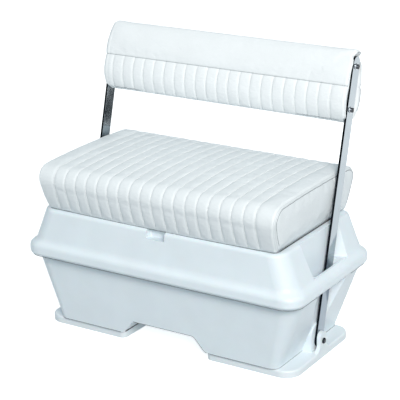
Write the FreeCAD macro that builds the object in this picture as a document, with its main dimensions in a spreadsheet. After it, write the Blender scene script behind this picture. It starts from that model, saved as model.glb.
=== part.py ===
import FreeCAD, Part
import math
import os
import Sketcher

# A boat seat on a moulded box. A tapered tub and a rimmed cover make the box, a liner hangs in its
# opening, the seat cushion is a lid hinged at the back, and a padded backrest stands on two flat
# bars that swing about pivots at the feet, from leaning back to leaning forward.
# Millimetres, +Z up, +X along the length, -Y at the front. The origin is on the floor, at the middle.

Vector = FreeCAD.Vector
os.makedirs("parts", exist_ok=True)
doc = FreeCAD.newDocument("SeatBox")

DRIVING_SIZES = [
    ("wall", 5, "moulded wall of the shells"),
    ("body_half_length", 418, "tub at its top edge, middle to end"),
    ("body_half_depth", 196, "tub at its top edge, middle to front"),
    ("body_corner", 48, "plan corner of the tub's top edge"),
    ("tub_height", 194, "tub from the feet to the parting line"),
    ("tub_taper_end", 71, "how far each end draws in at the bottom"),
    ("tub_taper_front", 21, "how far front and back draw in at the bottom"),
    ("tub_bottom_corner", 24, "plan corner of the tub's bottom"),
    ("flange_width", 21, "inward flange of both shells, inside the wall"),
    ("rim_overhang_end", 11, "rim past the tub's end"),
    ("rim_overhang_front", 30, "rim past the tub's front"),
    ("rim_corner", 54, "plan corner of the rim"),
    ("rim_band", 29, "upright band of the rim"),
    ("rim_slope", 15, "height of the sloping top of the rim"),
    ("rim_ledge_end", 17, "rim's sloping top, seen in plan, at the ends"),
    ("rim_ledge_front", 13, "rim's sloping top, seen in plan, at the front"),
    ("rim_bottom_round", 10, "round of the rim's lower edge"),
    ("rim_top_round", 15, "round above the rim's band"),
    ("rim_hollow_round", 22, "hollow between the rim and the cover's wall"),
    ("cover_height", 92, "cover's wall from the rim to the top"),
    ("cover_taper_end", 36, "how far the cover's ends draw in"),
    ("cover_taper_front", 8, "how far the cover's front draws in"),
    ("cover_foot_corner", 50, "plan corner where wall and rim meet"),
    ("cover_top_corner", 46, "plan corner of the cover's top"),
    ("shoulder_round", 11, "round of the cover's top edge"),
    ("opening_margin_end", 61, "cover's top from its end to the opening"),
    ("opening_margin_front", 65, "cover's top from its front to the opening"),
    ("opening_corner", 40, "plan corner of the opening"),
    ("notch_half_width", 29, "finger notch under the cushion"),
    ("notch_height", 25, "finger notch below the cover's top"),
    ("notch_depth", 22, "finger notch in from the cover's top edge"),
    ("tunnel_height", 42, "tunnel above the tub's bottom"),
    ("tunnel_half_top", 97, "tunnel's half width at its top"),
    ("tunnel_half_bottom", 131, "tunnel's half width at the feet"),
    ("tunnel_top_round", 14, "round at the top of the tunnel's sides"),
    ("tunnel_foot_round", 22, "round where the tunnel's sides meet the bottom"),
    ("recess_depth", 47, "arm recess, in from the tub's top edge"),
    ("recess_flare", 26, "how much wider the recess is at its mouth"),
    ("recess_clearance", 4, "recess beside the swinging arm"),
    ("slot_width", 35, "arm slot through the rim"),
    ("stop_clearance", 0.3, "arm to the end of its slot"),
    ("boss_rise", 4.3, "pivot boss proud of the recess"),
    ("boss_half_width", 33, "pivot boss"),
    ("boss_arch", 42, "height of the boss up to its arch"),
    ("boss_inner", 28, "pivot boss, from its face to the nut's seat"),
    ("lean_angle", 14.82, "backrest's lean from upright"),
    ("pivot_height", 48, "pivot above the floor"),
    ("arm_thickness", 6.35, "flat bar"),
    ("arm_width", 38.1, "flat bar"),
    ("arm_length", 757, "pivot to the arm's upper end"),
    ("arm_edge_round", 0.8, "eased edges of the bar"),
    ("arm_side_gap", 0.5, "arm to the boss and to the ear"),
    ("foot_thickness", 20, "foot plate"),
    ("foot_setback", 4, "foot plate behind the tub's bottom edge"),
    ("foot_outer_corner", 45, "plan corner of the foot, outside"),
    ("foot_inner_corner", 16, "plan corner of the foot, beside the tunnel"),
    ("foot_edge_round", 5, "round of the foot's upper edge"),
    ("foot_screw_margin", 46, "foot screws in from the foot's sides"),
    ("ear_thickness", 11, "ear of the foot plate"),
    ("ear_half_width", 17, "ear of the foot plate"),
    ("ear_flare", 16, "ear's foot, on each side"),
    ("ear_flare_height", 13, "ear's foot above the plate"),
    ("ear_rise", 26, "ear above the pivot"),
    ("pivot_diameter", 10, "pivot bolt"),
    ("pivot_head_diameter", 16, "pivot bolt's head"),
    ("pivot_head_height", 5, "pivot bolt's head"),
    ("pivot_fit", 0.06, "bushing round the bolt, on the radius"),
    ("bolt_clearance", 0.2, "plain holes, on the radius"),
    ("bushing_wall", 2.2, "bushing in the arm"),
    ("bushing_fit", 0.05, "bushing in the arm's hole, on the radius"),
    ("nut_across", 17, "pivot nut, across its flats"),
    ("nut_height", 9, "pivot nut"),
    ("bolt_end", 4, "pivot bolt past its nut"),
    ("hinge_half_length", 320, "long hinge"),
    ("hinge_knuckle", 6.4, "knuckle's outer diameter"),
    ("hinge_pin_diameter", 3, "hinge pin"),
    ("hinge_pin_fit", 0.06, "pin in its knuckles, on the radius"),
    ("hinge_leaf", 1.4, "leaf's thickness"),
    ("hinge_leaf_width", 34, "leaf, from the pin's axis"),
    ("hinge_setback", 10.8, "pin's axis in from the cover's back edge"),
    ("knuckle_gap", 0.4, "between neighbouring knuckles, and beside them"),
    ("board_thickness", 12, "seat board and backrest board"),
    ("board_corner", 16, "plan corner of the seat board"),
    ("back_board_end", 10, "backrest board in from the pad's ends"),
    ("back_board_edge", 20, "backrest board in from the pad's top and bottom"),
    ("board_inset", 11, "seat board inside the cushion's bottom edge"),
    ("board_clearance", 0.3, "boards in the padding"),
    ("liner_wall", 3, "liner and its flange"),
    ("liner_flange", 13, "liner's flange past the opening"),
    ("liner_clearance", 0.6, "liner in the opening"),
    ("liner_draft", 15, "how far the liner draws in at its floor"),
    ("liner_bevel", 8, "bevel of the liner's floor edge"),
    ("liner_floor_gap", 30, "liner's floor above the tunnel"),
    ("gasket_clearance", 0.3, "gasket to the seat board"),
    ("gasket_width", 9, "opening's seal"),
    ("cushion_lift", 2, "cushion's lower edge above the cover"),
    ("cushion_side_gap", 7.8, "cushion to the arms"),
    ("cushion_draw_end", 11, "how far the cushion's ends draw in at the bottom"),
    ("cushion_edge", 11, "cushion's lower edge in from the cover's edge"),
    ("cushion_flare", 31, "cushion's front past its lower edge"),
    ("cushion_side", 126, "cushion's height at its sides"),
    ("cushion_crown", 9, "rise of the seat towards its middle"),
    ("cushion_round", 42, "round of the cushion's front edge"),
    ("channel_pitch", 34.5, "sewn channels of the seat"),
    ("channel_depth", 4, "sewn channels' depth"),
    ("channel_crease", 6, "half width of a sewn crease"),
    ("end_strip", 30, "least width of the strip beside a cushion's end seam"),
    ("back_channel_pitch", 34, "sewn channels of the backrest"),
    ("back_over_arm", 19, "backrest past the arms' upper ends"),
    ("back_seam", 97, "lower edge to the cross seam"),
    ("back_height", 196, "backrest along the arms"),
    ("back_half_thick", 39, "backrest at its cross seam"),
    ("back_belly", 4, "fullness of the backrest's lower panels"),
    ("back_top_half", 11, "backrest at its top"),
    ("back_bottom_half", 22, "backrest at its bottom"),
    ("back_top_round", 7, "rise of the rounded top and bottom"),
    ("back_side_gap", 0.3, "backrest pad to the arms"),
    ("back_bolt_low", 35.5, "lower bolt above the backrest's lower edge"),
    ("back_bolt_high", 149.4, "upper bolt above the backrest's lower edge"),
    ("back_bolt_diameter", 8, "backrest bolt"),
    ("back_bolt_head", 13, "backrest bolt's head"),
    ("back_bolt_head_height", 4.5, "backrest bolt's head"),
    ("back_bolt_length", 34, "backrest bolt under its head"),
    ("washer_diameter", 17, "backrest washer"),
    ("washer_thickness", 1.6, "backrest washer"),
    ("insert_diameter", 11, "threaded insert in the backrest board"),
    ("insert_length", 22, "threaded insert in the backrest board"),
    ("screw_diameter", 5, "shell and foot screws"),
    ("screw_head", 10, "shell and foot screws' heads"),
    ("screw_head_height", 3.2, "shell and foot screws' heads"),
    ("screw_length", 30, "foot screw under its head"),
    ("flange_screw_length", 16, "flange screw under its head"),
    ("hinge_screw_diameter", 3.5, "hinge screws"),
    ("hinge_screw_length", 9, "hinge screw past its leaf"),
    ("hinge_screw_head", 6.5, "hinge screws' heads"),
    ("hinge_screw_head_height", 1.2, "hinge screws' heads"),
    ("hinge_screw_pitch", 80, "between hinge screws"),
    ("flange_screw_pitch", 140, "between flange screws"),
]

FLANGE_SCREWS = 6
HINGE_KNUCKLES = 17
SHELL_LEAF_SCREWS = 8
LID_LEAF_SCREWS = 7


class Size:
    """A length or an angle: its words on the sheet, and the number that they come to."""

    def __init__(self, words, number):
        self.words = words
        self.number = number

    def joined(self, sign, other, number):
        other_words = other.words if isinstance(other, Size) else str(other)
        return Size(f"({self.words} {sign} {other_words})", number)

    def __add__(self, other):
        return self.joined("+", other, self.number + number_of(other))

    def __sub__(self, other):
        return self.joined("-", other, self.number - number_of(other))

    def __mul__(self, other):
        return self.joined("*", other, self.number * number_of(other))

    def __truediv__(self, other):
        return self.joined("/", other, self.number / number_of(other))

    def __neg__(self):
        return Size(f"(-1 * {self.words})", -self.number)


def number_of(value):
    return value.number if isinstance(value, Size) else value


def tangent(angle):
    return Size(f"tan({angle.words} * 1 deg)", math.tan(math.radians(angle.number)))


def cosine(angle):
    return Size(f"cos({angle.words} * 1 deg)", math.cos(math.radians(angle.number)))


sheet = doc.addObject("Spreadsheet::Sheet", "Sizes")
size = {}
for row, (alias, value, words) in enumerate(DRIVING_SIZES, start=1):
    sheet.set(f"A{row}", words)
    sheet.set(f"B{row}", str(value))
    sheet.setAlias(f"B{row}", alias)
    size[alias] = Size(f"Sizes.{alias}", float(value))
doc.recompute()

# Heights, from the floor up
tub_bottom = size["foot_thickness"]
parting = tub_bottom + size["tub_height"]
rim_shoulder = parting + size["rim_band"]
rim_top = rim_shoulder + size["rim_slope"]
cover_top = rim_top + size["cover_height"]
board_bottom = cover_top + size["hinge_knuckle"]
cushion_bottom = cover_top + size["cushion_lift"]

# Outlines in plan, as half lengths and half depths
tub_end, tub_front = size["body_half_length"], size["body_half_depth"]
rim_end = tub_end + size["rim_overhang_end"]
rim_front = tub_front + size["rim_overhang_front"]
cover_foot_end = rim_end - size["rim_ledge_end"]
cover_foot_front = rim_front - size["rim_ledge_front"]
cover_end = cover_foot_end - size["cover_taper_end"]
cover_front = cover_foot_front - size["cover_taper_front"]
floor_end = tub_end - size["tub_taper_end"]
floor_front = tub_front - size["tub_taper_front"]
opening_end = cover_end - size["opening_margin_end"]
opening_front = cover_front - size["opening_margin_front"]

# The arm's place along X: boss, gap, arm, gap, ear
recess_back = tub_end - size["recess_depth"]
boss_face = recess_back + size["boss_rise"]
arm_inside = boss_face + size["arm_side_gap"]
arm_outside = arm_inside + size["arm_thickness"]
ear_inside = arm_outside + size["arm_side_gap"]
ear_outside = ear_inside + size["ear_thickness"]
foot_front = floor_front - size["foot_setback"]
nut_seat = boss_face - size["boss_inner"]

# The lid's hinge line, and what hangs on it
hinge_back = cover_front - size["hinge_setback"]
hinge_height = cover_top + size["hinge_knuckle"] / 2
leaf_edge = hinge_back - size["hinge_knuckle"] / 2 - size["knuckle_gap"]
leaf_front = hinge_back - size["hinge_leaf_width"]
leaf_screw_line = hinge_back - size["hinge_leaf_width"] * 0.6
cushion_end = arm_inside - size["cushion_side_gap"]
cushion_low_end = cushion_end - size["cushion_draw_end"]
cushion_low_front = cover_front - size["cushion_edge"]
back_end = arm_inside - size["back_side_gap"]
back_board_end = back_end - size["back_board_end"]
back_start = size["arm_length"] + size["back_over_arm"] - size["back_height"]
flange_screw_line = tub_front - size["flange_width"] / 2 - size["wall"] / 2
ZERO = Size("0", 0.0)

# Which way each flat sketch faces: the turn of its placement, the axis it is offset on, and the
# role of the matching plane of a body
LEVEL = (FreeCAD.Rotation(), "z", "XY_Plane")
ACROSS = (FreeCAD.Rotation(Vector(1, 0, 0), 90), "y", "XZ_Plane")
SIDEWAYS = (FreeCAD.Rotation(Vector(1, 1, 1), 120), "x", "YZ_Plane")
X_AXIS, Y_AXIS, Z_AXIS = Vector(1, 0, 0), Vector(0, 1, 0), Vector(0, 0, 1)


def new_sketch(name, facing, offset, body=None):
    """A flat sketch in the document, or on a plane of a body's own origin."""
    rotation, axis, role = facing
    if body is None:
        sketch = doc.addObject("Sketcher::SketchObject", name)
        sketch.Placement = FreeCAD.Placement(Vector(), rotation)
        sketch.setExpression(f"Placement.Base.{axis}", offset.words)
        return sketch
    sketch = body.newObject("Sketcher::SketchObject", name)
    plane = next(item for item in body.Origin.OriginFeatures if item.Role == role)
    sketch.AttachmentSupport = [(plane, "")]
    sketch.MapMode = "FlatFace"
    along = -offset if axis == "y" else offset
    sketch.setExpression("AttachmentOffset.Base.z", along.words)
    return sketch


def hold(sketch, constraint, wanted):
    """Adds a constraint whose value follows the sheet."""
    index = sketch.addConstraint(constraint)
    sketch.setExpression(f"Constraints[{index}]", wanted.words)


def corner_joint(before, corner, after, radius):
    """Where two sides stop short of a rounded corner, the round's centre, and which way it turns."""
    back = (before - corner).normalize()
    ahead = (after - corner).normalize()
    half = back.getAngle(ahead) / 2
    reach = radius / math.tan(half)
    centre = corner + (back + ahead).normalize() * (radius / math.sin(half))
    turns_left = back.cross(ahead).z < 0
    return corner + back * reach, corner + ahead * reach, centre, turns_left


def round_corner(sketch, joint, radius):
    """The arc of one rounded corner; gives its index and which of its ends the first side meets."""
    arrive, leave, centre, turns_left = joint
    first, last = (arrive, leave) if turns_left else (leave, arrive)
    circle = Part.Circle(centre, Z_AXIS, radius)
    arc = Part.ArcOfCircle(circle, circle.parameter(first), circle.parameter(last))
    return sketch.addGeometry(arc), (1, 2) if turns_left else (2, 1)


def draw_outline(sketch, corners):
    """A closed outline, listed anticlockwise as (x, y, radius); a radius of None is a sharp corner."""
    places = [Vector(x.number, y.number, 0) for x, y, radius in corners]
    count = len(places)
    joints = []
    for index, (x, y, radius) in enumerate(corners):
        here = places[index]
        if radius is None:
            joints.append((here, here, None, True))
        else:
            after = places[(index + 1) % count]
            joints.append(corner_joint(places[index - 1], here, after, radius.number))
    first_side = sketch.GeometryCount
    for index in range(count):
        after = (index + 1) % count
        sketch.addGeometry(Part.LineSegment(joints[index][1], joints[after][0]))
    for index, (x, y, radius) in enumerate(corners):
        side_in = first_side + (index - 1) % count
        side_out = first_side + index
        point = sketch.addGeometry(Part.Point(places[index]), True)
        hold(sketch, Sketcher.Constraint("DistanceX", -1, 1, point, 1, x.number), x)
        hold(sketch, Sketcher.Constraint("DistanceY", -1, 1, point, 1, y.number), y)
        if radius is None:
            sketch.addConstraint(Sketcher.Constraint("Coincident", side_in, 2, point, 1))
            sketch.addConstraint(Sketcher.Constraint("Coincident", side_out, 1, point, 1))
            continue
        arc, (arc_in, arc_out) = round_corner(sketch, joints[index], radius.number)
        sketch.addConstraint(Sketcher.Constraint("PointOnObject", point, 1, side_in))
        sketch.addConstraint(Sketcher.Constraint("PointOnObject", point, 1, side_out))
        sketch.addConstraint(Sketcher.Constraint("Tangent", side_in, 2, arc, arc_in))
        sketch.addConstraint(Sketcher.Constraint("Tangent", side_out, 1, arc, arc_out))
        hold(sketch, Sketcher.Constraint("Radius", arc, radius.number), radius)
    return sketch


def rectangle(half_x, half_y, radius=None):
    """Corners of a rectangle about the middle."""
    return [(-half_x, -half_y, radius), (half_x, -half_y, radius),
            (half_x, half_y, radius), (-half_x, half_y, radius)]


def box_corners(low_x, low_y, high_x, high_y, radius=None):
    return [(low_x, low_y, radius), (high_x, low_y, radius),
            (high_x, high_y, radius), (low_x, high_y, radius)]


def draw_circle(sketch, x, y, radius):
    circle = sketch.addGeometry(Part.Circle(Vector(x.number, y.number, 0), Z_AXIS, radius.number))
    hold(sketch, Sketcher.Constraint("DistanceX", -1, 1, circle, 3, x.number), x)
    hold(sketch, Sketcher.Constraint("DistanceY", -1, 1, circle, 3, y.number), y)
    hold(sketch, Sketcher.Constraint("Radius", circle, radius.number), radius)


def stack(name, levels):
    """A solid through level outlines, each (height, half length, half depth, corner)."""
    sections = []
    for index, (height, half_x, half_y, corner) in enumerate(levels):
        section = new_sketch(f"{name}_outline_{index}", LEVEL, height)
        sections.append(draw_outline(section, rectangle(half_x, half_y, corner)))
    loft = doc.addObject("Part::Loft", name)
    loft.Sections = sections
    loft.Solid = True
    loft.Ruled = True
    return loft


def prism(name, facing, offset, length, corners):
    """A straight solid of one outline; the length runs towards +X, -Y or +Z."""
    outline = draw_outline(new_sketch(f"{name}_outline", facing, offset), corners)
    solid = doc.addObject("Part::Extrusion", name)
    solid.Base = outline
    solid.DirMode = "Normal"
    solid.Solid = True
    solid.setExpression("LengthFwd", length.words)
    return solid


def cylinder(name, facing, place, radius, length):
    """A round bar from a place, towards +X, -Y or +Z."""
    turn = {"x": FreeCAD.Rotation(Y_AXIS, 90), "y": FreeCAD.Rotation(X_AXIS, 90), "z": FreeCAD.Rotation()}
    bar = doc.addObject("Part::Cylinder", name)
    bar.Placement = FreeCAD.Placement(Vector(), turn[facing[1]])
    for axis, offset in zip("xyz", place):
        bar.setExpression(f"Placement.Base.{axis}", offset.words)
    bar.setExpression("Radius", radius.words)
    bar.setExpression("Height", length.words)
    return bar


def fused(name, shapes):
    whole = doc.addObject("Part::MultiFuse", name)
    whole.Shapes = shapes
    return whole


def cut(name, base, tool):
    rest = doc.addObject("Part::Cut", name)
    rest.Base = base
    rest.Tool = tool
    return rest


def mirrored_pair(name, source):
    """A solid and its twin on the other side of the middle, as one tool."""
    twin = doc.addObject("Part::Mirroring", f"{name}_twin")
    twin.Source = source
    twin.Normal = X_AXIS
    return fused(name, [source, twin])


def rounded_edges(name, base, wanted):
    """Rounds the edges that each test in (test, radius) picks out."""
    doc.recompute()
    rounds = []
    for number, edge in enumerate(base.Shape.Edges, start=1):
        for test, radius in wanted:
            if test(edge.BoundBox):
                rounds.append((number, radius.number, radius.number))
    fillet = doc.addObject("Part::Fillet", name)
    fillet.Base = base
    fillet.Edges = rounds
    return fillet


def level_at(height):
    """Picks out the edges that lie flat at a height."""
    return lambda box: abs(box.ZMin - height.number) < 0.01 and abs(box.ZMax - height.number) < 0.01


nodes = []


def keep(item, label):
    """Names a finished sub-part."""
    item.Label = label
    nodes.append(item)
    return item


def recess_half(height):
    """Half width that the swinging arm takes at a height, with no clearance."""
    return (height - size["pivot_height"]) * tangent(size["lean_angle"]) \
        + size["arm_width"] / 2 / cosine(size["lean_angle"])


def fan_corners(low, high, extra):
    """The fan that the arm sweeps between two heights, wider by extra on each side."""
    low_half, high_half = recess_half(low) + extra, recess_half(high) + extra
    return [(-low_half, low, None), (low_half, low, None), (high_half, high, None), (-high_half, high, None)]


def fan_recess():
    """The fan-shaped recess at one end of the shells, flaring towards its mouth."""
    low = tub_bottom + size["boss_half_width"]
    high = cover_top + size["wall"]
    mouth = rim_end + size["wall"]
    inner = new_sketch("recess_back", SIDEWAYS, recess_back)
    outer = new_sketch("recess_mouth", SIDEWAYS, mouth)
    draw_outline(inner, fan_corners(low, high, size["recess_clearance"]))
    draw_outline(outer, fan_corners(low, high, size["recess_clearance"] + size["recess_flare"]))
    recess = doc.addObject("Part::Loft", "recess")
    recess.Sections = [inner, outer]
    recess.Solid = True
    recess.Ruled = True
    return recess


def end_block(name, low, high):
    """Keeps the moulding's end solid round the arm recess, between two heights."""
    half = recess_half(high) + size["recess_clearance"] + size["recess_flare"]
    inner = recess_back - size["wall"]
    return prism(name, SIDEWAYS, inner, rim_end - inner, box_corners(-half, low, half, high))


def tunnel_corners(grow):
    """The tunnel's outline across the box, or the same one wall thickness larger."""
    slope = (size["tunnel_half_bottom"] - size["tunnel_half_top"]) / size["tunnel_height"]
    low = tub_bottom - size["wall"]
    half_low = size["tunnel_half_bottom"] + slope * size["wall"] + grow
    half_top = size["tunnel_half_top"] + grow
    top = tub_bottom + size["tunnel_height"] + grow
    return [(-half_low, low, None), (half_low, low, None),
            (half_top, top, size["tunnel_top_round"]), (-half_top, top, size["tunnel_top_round"])]


def tunnel_foot_edges(box):
    """Picks out the edges where the tunnel's sides meet the tub's bottom."""
    across = max(abs(box.XMin), abs(box.XMax))
    return level_at(tub_bottom)(box) and abs(across - size["tunnel_half_bottom"].number) < 0.01


def boss_corners(half):
    """The arched outline of the pivot boss."""
    low = tub_bottom
    high = tub_bottom + size["boss_arch"] + half
    return [(-half, low, None), (half, low, None), (half, high, half * 0.98), (-half, high, half * 0.98)]


def lower_shell(recess):
    outer = stack("tub_outside", [
        (tub_bottom, floor_end, floor_front, size["tub_bottom_corner"]),
        (parting, tub_end, tub_front, size["body_corner"])])
    wall = size["wall"]
    hollow_floor = tub_bottom + wall
    hollow_top = parting - wall
    slope_end = size["tub_taper_end"] / size["tub_height"]
    slope_front = size["tub_taper_front"] / size["tub_height"]
    inside = stack("tub_hollow", [
        (hollow_floor, floor_end + slope_end * wall - wall, floor_front + slope_front * wall - wall,
         size["tub_bottom_corner"] - wall),
        (hollow_top, tub_end - slope_end * wall - wall, tub_front - slope_front * wall - wall,
         size["body_corner"] - wall)])
    mouth = stack("tub_mouth", [
        (hollow_top - wall, tub_end - size["flange_width"] - wall, tub_front - size["flange_width"],
         size["body_corner"] - wall),
        (parting + wall, tub_end - size["flange_width"] - wall, tub_front - size["flange_width"],
         size["body_corner"] - wall)])
    depth = tub_front * 2
    boss_back = boss_face - size["boss_inner"]
    boss_inside = prism("boss_inside", SIDEWAYS, boss_back, size["boss_inner"],
                        boss_corners(size["boss_half_width"]))
    solid_parts = fused("tub_solid_parts", [
        mirrored_pair("tub_end_blocks", end_block("tub_end_block", tub_bottom, parting)),
        mirrored_pair("boss_insides", boss_inside),
        prism("tunnel_cover", ACROSS, tub_front, depth, tunnel_corners(wall))])
    hollow = cut("tub_inside", fused("tub_hollows", [inside, mouth]), solid_parts)
    screw_hole = size["screw_diameter"] / 2 + size["bolt_clearance"]
    boss = prism("boss", SIDEWAYS, boss_back, size["boss_inner"], boss_corners(size["boss_half_width"]))
    tunnel = prism("tunnel", ACROSS, tub_front, depth, tunnel_corners(ZERO))
    body = rounded_edges("tub_with_tunnel", cut("tub_on_feet", outer, tunnel),
                         [(tunnel_foot_edges, size["tunnel_foot_round"])])
    body = cut("tub_recessed", body, mirrored_pair("tub_recesses", recess))
    body = fused("tub_with_bosses", [body, mirrored_pair("bosses", boss)])
    hole = cylinder("boss_hole", SIDEWAYS, (boss_back - wall, ZERO, size["pivot_height"]),
                    size["pivot_diameter"] / 2 + size["bolt_clearance"], size["boss_inner"] + wall * 2)
    tools = fused("tub_cuts", [
        hollow,
        mirrored_pair("boss_holes", hole),
        mirrored_pair("tub_foot_holes", drills("tub_foot_hole", foot_screw_places(), screw_hole,
                                               tub_bottom - wall, wall * 3)),
        drills("tub_flange_holes", flange_screw_places(), screw_hole, parting - wall * 2, wall * 3)])
    return keep(cut("LowerShell", body, tools), "lower_shell")


def upper_shell(recess):
    wall = size["wall"]
    outer = stack("cover_outside", [
        (parting, rim_end, rim_front, size["rim_corner"]),
        (rim_shoulder, rim_end, rim_front, size["rim_corner"]),
        (rim_top, cover_foot_end, cover_foot_front, size["cover_foot_corner"]),
        (cover_top, cover_end, cover_front, size["cover_top_corner"])])
    outer = rounded_edges("cover_rounded", outer, [
        (level_at(parting), size["rim_bottom_round"]),
        (level_at(rim_shoulder), size["rim_top_round"]),
        (level_at(rim_top), size["rim_hollow_round"]),
        (level_at(cover_top), size["shoulder_round"])])
    inside = stack("cover_hollow", [
        (parting + wall, rim_end - wall, rim_front - wall, size["rim_corner"] - wall),
        (rim_shoulder, rim_end - wall, rim_front - wall, size["rim_corner"] - wall),
        (rim_top, cover_foot_end - wall, cover_foot_front - wall, size["cover_foot_corner"] - wall),
        (cover_top - wall, cover_end - wall, cover_front - wall, size["cover_top_corner"] - wall)])
    mouth_corner = size["body_corner"] - wall
    mouth_end = tub_end - size["flange_width"] - wall
    mouth_front = tub_front - size["flange_width"]
    mouth = stack("cover_mouth", [
        (parting - wall, mouth_end, mouth_front, mouth_corner),
        (parting + wall * 2, mouth_end, mouth_front, mouth_corner)])
    opening = stack("opening", [
        (cover_top - wall * 2, opening_end, opening_front, size["opening_corner"]),
        (cover_top + wall, opening_end, opening_front, size["opening_corner"])])
    notch_low = cover_top - size["notch_height"]
    notch_back = -cover_front + size["notch_depth"]
    front = -rim_front
    notch = prism("notch", LEVEL, notch_low, size["notch_height"] + wall, box_corners(
        -size["notch_half_width"], front, size["notch_half_width"], notch_back, wall))
    notch_walls = prism("notch_walls", LEVEL, notch_low - wall, size["notch_height"] + wall, box_corners(
        -size["notch_half_width"] - wall, front, size["notch_half_width"] + wall, notch_back + wall))
    slot_low, slot_high = parting - wall, rim_top + wall
    slot = prism("slot", SIDEWAYS, recess_back, size["slot_width"],
                 fan_corners(slot_low, slot_high, size["stop_clearance"] / cosine(size["lean_angle"])))
    bar_guard = prism("rim_bar", SIDEWAYS, recess_back - wall, rim_end + wall - recess_back,
                      box_corners(-rim_front, tub_bottom, rim_front, rim_top))
    upper_recess = cut("upper_recess", recess, bar_guard)
    screw_hole = size["screw_diameter"] / 2 + size["bolt_clearance"]
    hinge_hole = size["hinge_screw_diameter"] / 2 + size["bolt_clearance"]
    solid_parts = fused("cover_solid_parts", [
        mirrored_pair("cover_end_blocks", end_block("cover_end_block", parting, cover_top)), notch_walls])
    hollow = cut("cover_inside", fused("cover_hollows", [inside, mouth]), solid_parts)
    tools = fused("cover_cuts", [
        hollow, opening, notch, mirrored_pair("slots", slot), mirrored_pair("upper_recesses", upper_recess),
        drills("cover_flange_holes", flange_screw_places(), screw_hole, parting - wall, wall * 3),
        drills("cover_hinge_holes", hinge_screw_places(SHELL_LEAF_SCREWS), hinge_hole,
               cover_top - wall * 2, wall * 3)])
    return keep(cut("UpperShell", outer, tools), "upper_shell")


def new_body(name, label):
    body = doc.addObject("PartDesign::Body", name)
    return keep(body, label)


def padded_outline(body, sketch, length):
    """Thickens a sketch of a body along its normal."""
    pad = body.newObject("PartDesign::Pad", f"{sketch.Name}_pad")
    pad.Profile = sketch
    pad.setExpression("Length", length.words)
    return pad


def bored(body, sketch, reverse):
    """Cuts a sketch of a body right through; reverse cuts along its normal."""
    pocket = body.newObject("PartDesign::Pocket", f"{sketch.Name}_pocket")
    pocket.Profile = sketch
    pocket.Type = "ThroughAll"
    pocket.Reversed = reverse
    return pocket


def sunk(body, sketch, depth, reverse):
    """Cuts a sketch of a body to a depth."""
    pocket = body.newObject("PartDesign::Pocket", f"{sketch.Name}_pocket")
    pocket.Profile = sketch
    pocket.Reversed = reverse
    pocket.setExpression("Length", depth.words)
    return pocket


def eased(body, name, test, radius):
    """Rounds the edges of a body's last feature that a test of their bounds picks out."""
    doc.recompute()
    last = body.Tip
    picked = [f"Edge{number}" for number, edge in enumerate(last.Shape.Edges, start=1) if test(edge.BoundBox)]
    fillet = body.newObject("PartDesign::Fillet", name)
    fillet.Base = (last, picked)
    fillet.setExpression("Radius", radius.words)
    return fillet


def foot_screw_places():
    """The screws of the right foot, as seen from above."""
    margin = size["foot_screw_margin"]
    near, far = size["tunnel_half_bottom"] + margin, floor_end - margin
    line = foot_front - margin
    return [(x, y) for x in (near, far) for y in (-line, line)]


def foot_plate():
    """The right foot: a rounded plate with the ear that holds the pivot bolt's head."""
    body = new_body("FootPlateRight", "foot_plate_right")
    plate = new_sketch("foot_outline", LEVEL, ZERO, body)
    inner, outer = size["foot_inner_corner"], size["foot_outer_corner"]
    draw_outline(plate, [
        (size["tunnel_half_bottom"], -foot_front, inner), (ear_outside, -foot_front, outer),
        (ear_outside, foot_front, outer), (size["tunnel_half_bottom"], foot_front, inner)])
    padded_outline(body, plate, size["foot_thickness"])
    eased(body, "foot_edges", level_at(size["foot_thickness"]), size["foot_edge_round"])
    ear = new_sketch("ear_outline", SIDEWAYS, ear_inside, body)
    half, flare = size["ear_half_width"], size["ear_half_width"] + size["ear_flare"]
    low, base = size["foot_thickness"] / 2, size["foot_thickness"]
    waist = base + size["ear_flare_height"]
    top = size["pivot_height"] + size["ear_rise"]
    draw_outline(ear, [
        (-flare, low, None), (flare, low, None), (flare, base, None), (half, waist, size["ear_flare_height"]),
        (half, top, half * 0.97), (-half, top, half * 0.97), (-half, waist, size["ear_flare_height"]),
        (-flare, base, None)])
    padded_outline(body, ear, size["ear_thickness"])
    hole = new_sketch("ear_hole", SIDEWAYS, ear_inside, body)
    draw_circle(hole, ZERO, size["pivot_height"], size["pivot_diameter"] / 2 + size["bolt_clearance"])
    bored(body, hole, True)
    shanks = new_sketch("foot_screw_holes", LEVEL, ZERO, body)
    heads = new_sketch("foot_screw_heads", LEVEL, ZERO, body)
    for x, y in foot_screw_places():
        draw_circle(shanks, x, y, size["screw_diameter"] / 2 + size["bolt_clearance"])
        draw_circle(heads, x, y, size["screw_head"] / 2 + size["bolt_clearance"])
    bored(body, shanks, True)
    sunk(body, heads, size["foot_thickness"] / 2, True)
    return body


def mirrored_node(name, source, label):
    twin = doc.addObject("Part::Mirroring", name)
    twin.Source = source
    twin.Normal = X_AXIS
    return keep(twin, label)


def fastener(head_radius, head_height, shank_radius, length):
    """A screw standing on its tip side down: head above the origin, shank below it."""
    head = Part.makeCylinder(head_radius, head_height)
    shank = Part.makeCylinder(shank_radius, length, Vector(0, 0, -length))
    return head.fuse(shank).removeSplitter()


def group(name, label, shape, places, rotation=FreeCAD.Rotation()):
    """Like pieces in one sub-part, each a solid of its own."""
    copies = []
    for place in places:
        copy = shape.copy()
        copy.Placement = FreeCAD.Placement(Vector(*[number_of(offset) for offset in place]), rotation)
        copies.append(copy)
    feature = doc.addObject("Part::Feature", name)
    feature.Shape = Part.makeCompound(copies)
    return keep(feature, label)


def drills(name, places, radius, low, length):
    """Upright round cuts at places seen from above."""
    return fused(name, [cylinder(f"{name}_{index}", LEVEL, (x, y, low), radius, length)
                        for index, (x, y) in enumerate(places)])


def spread_along(count, pitch):
    """Places evenly either side of the middle."""
    return [pitch * (index - (count - 1) / 2) for index in range(count)]


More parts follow.
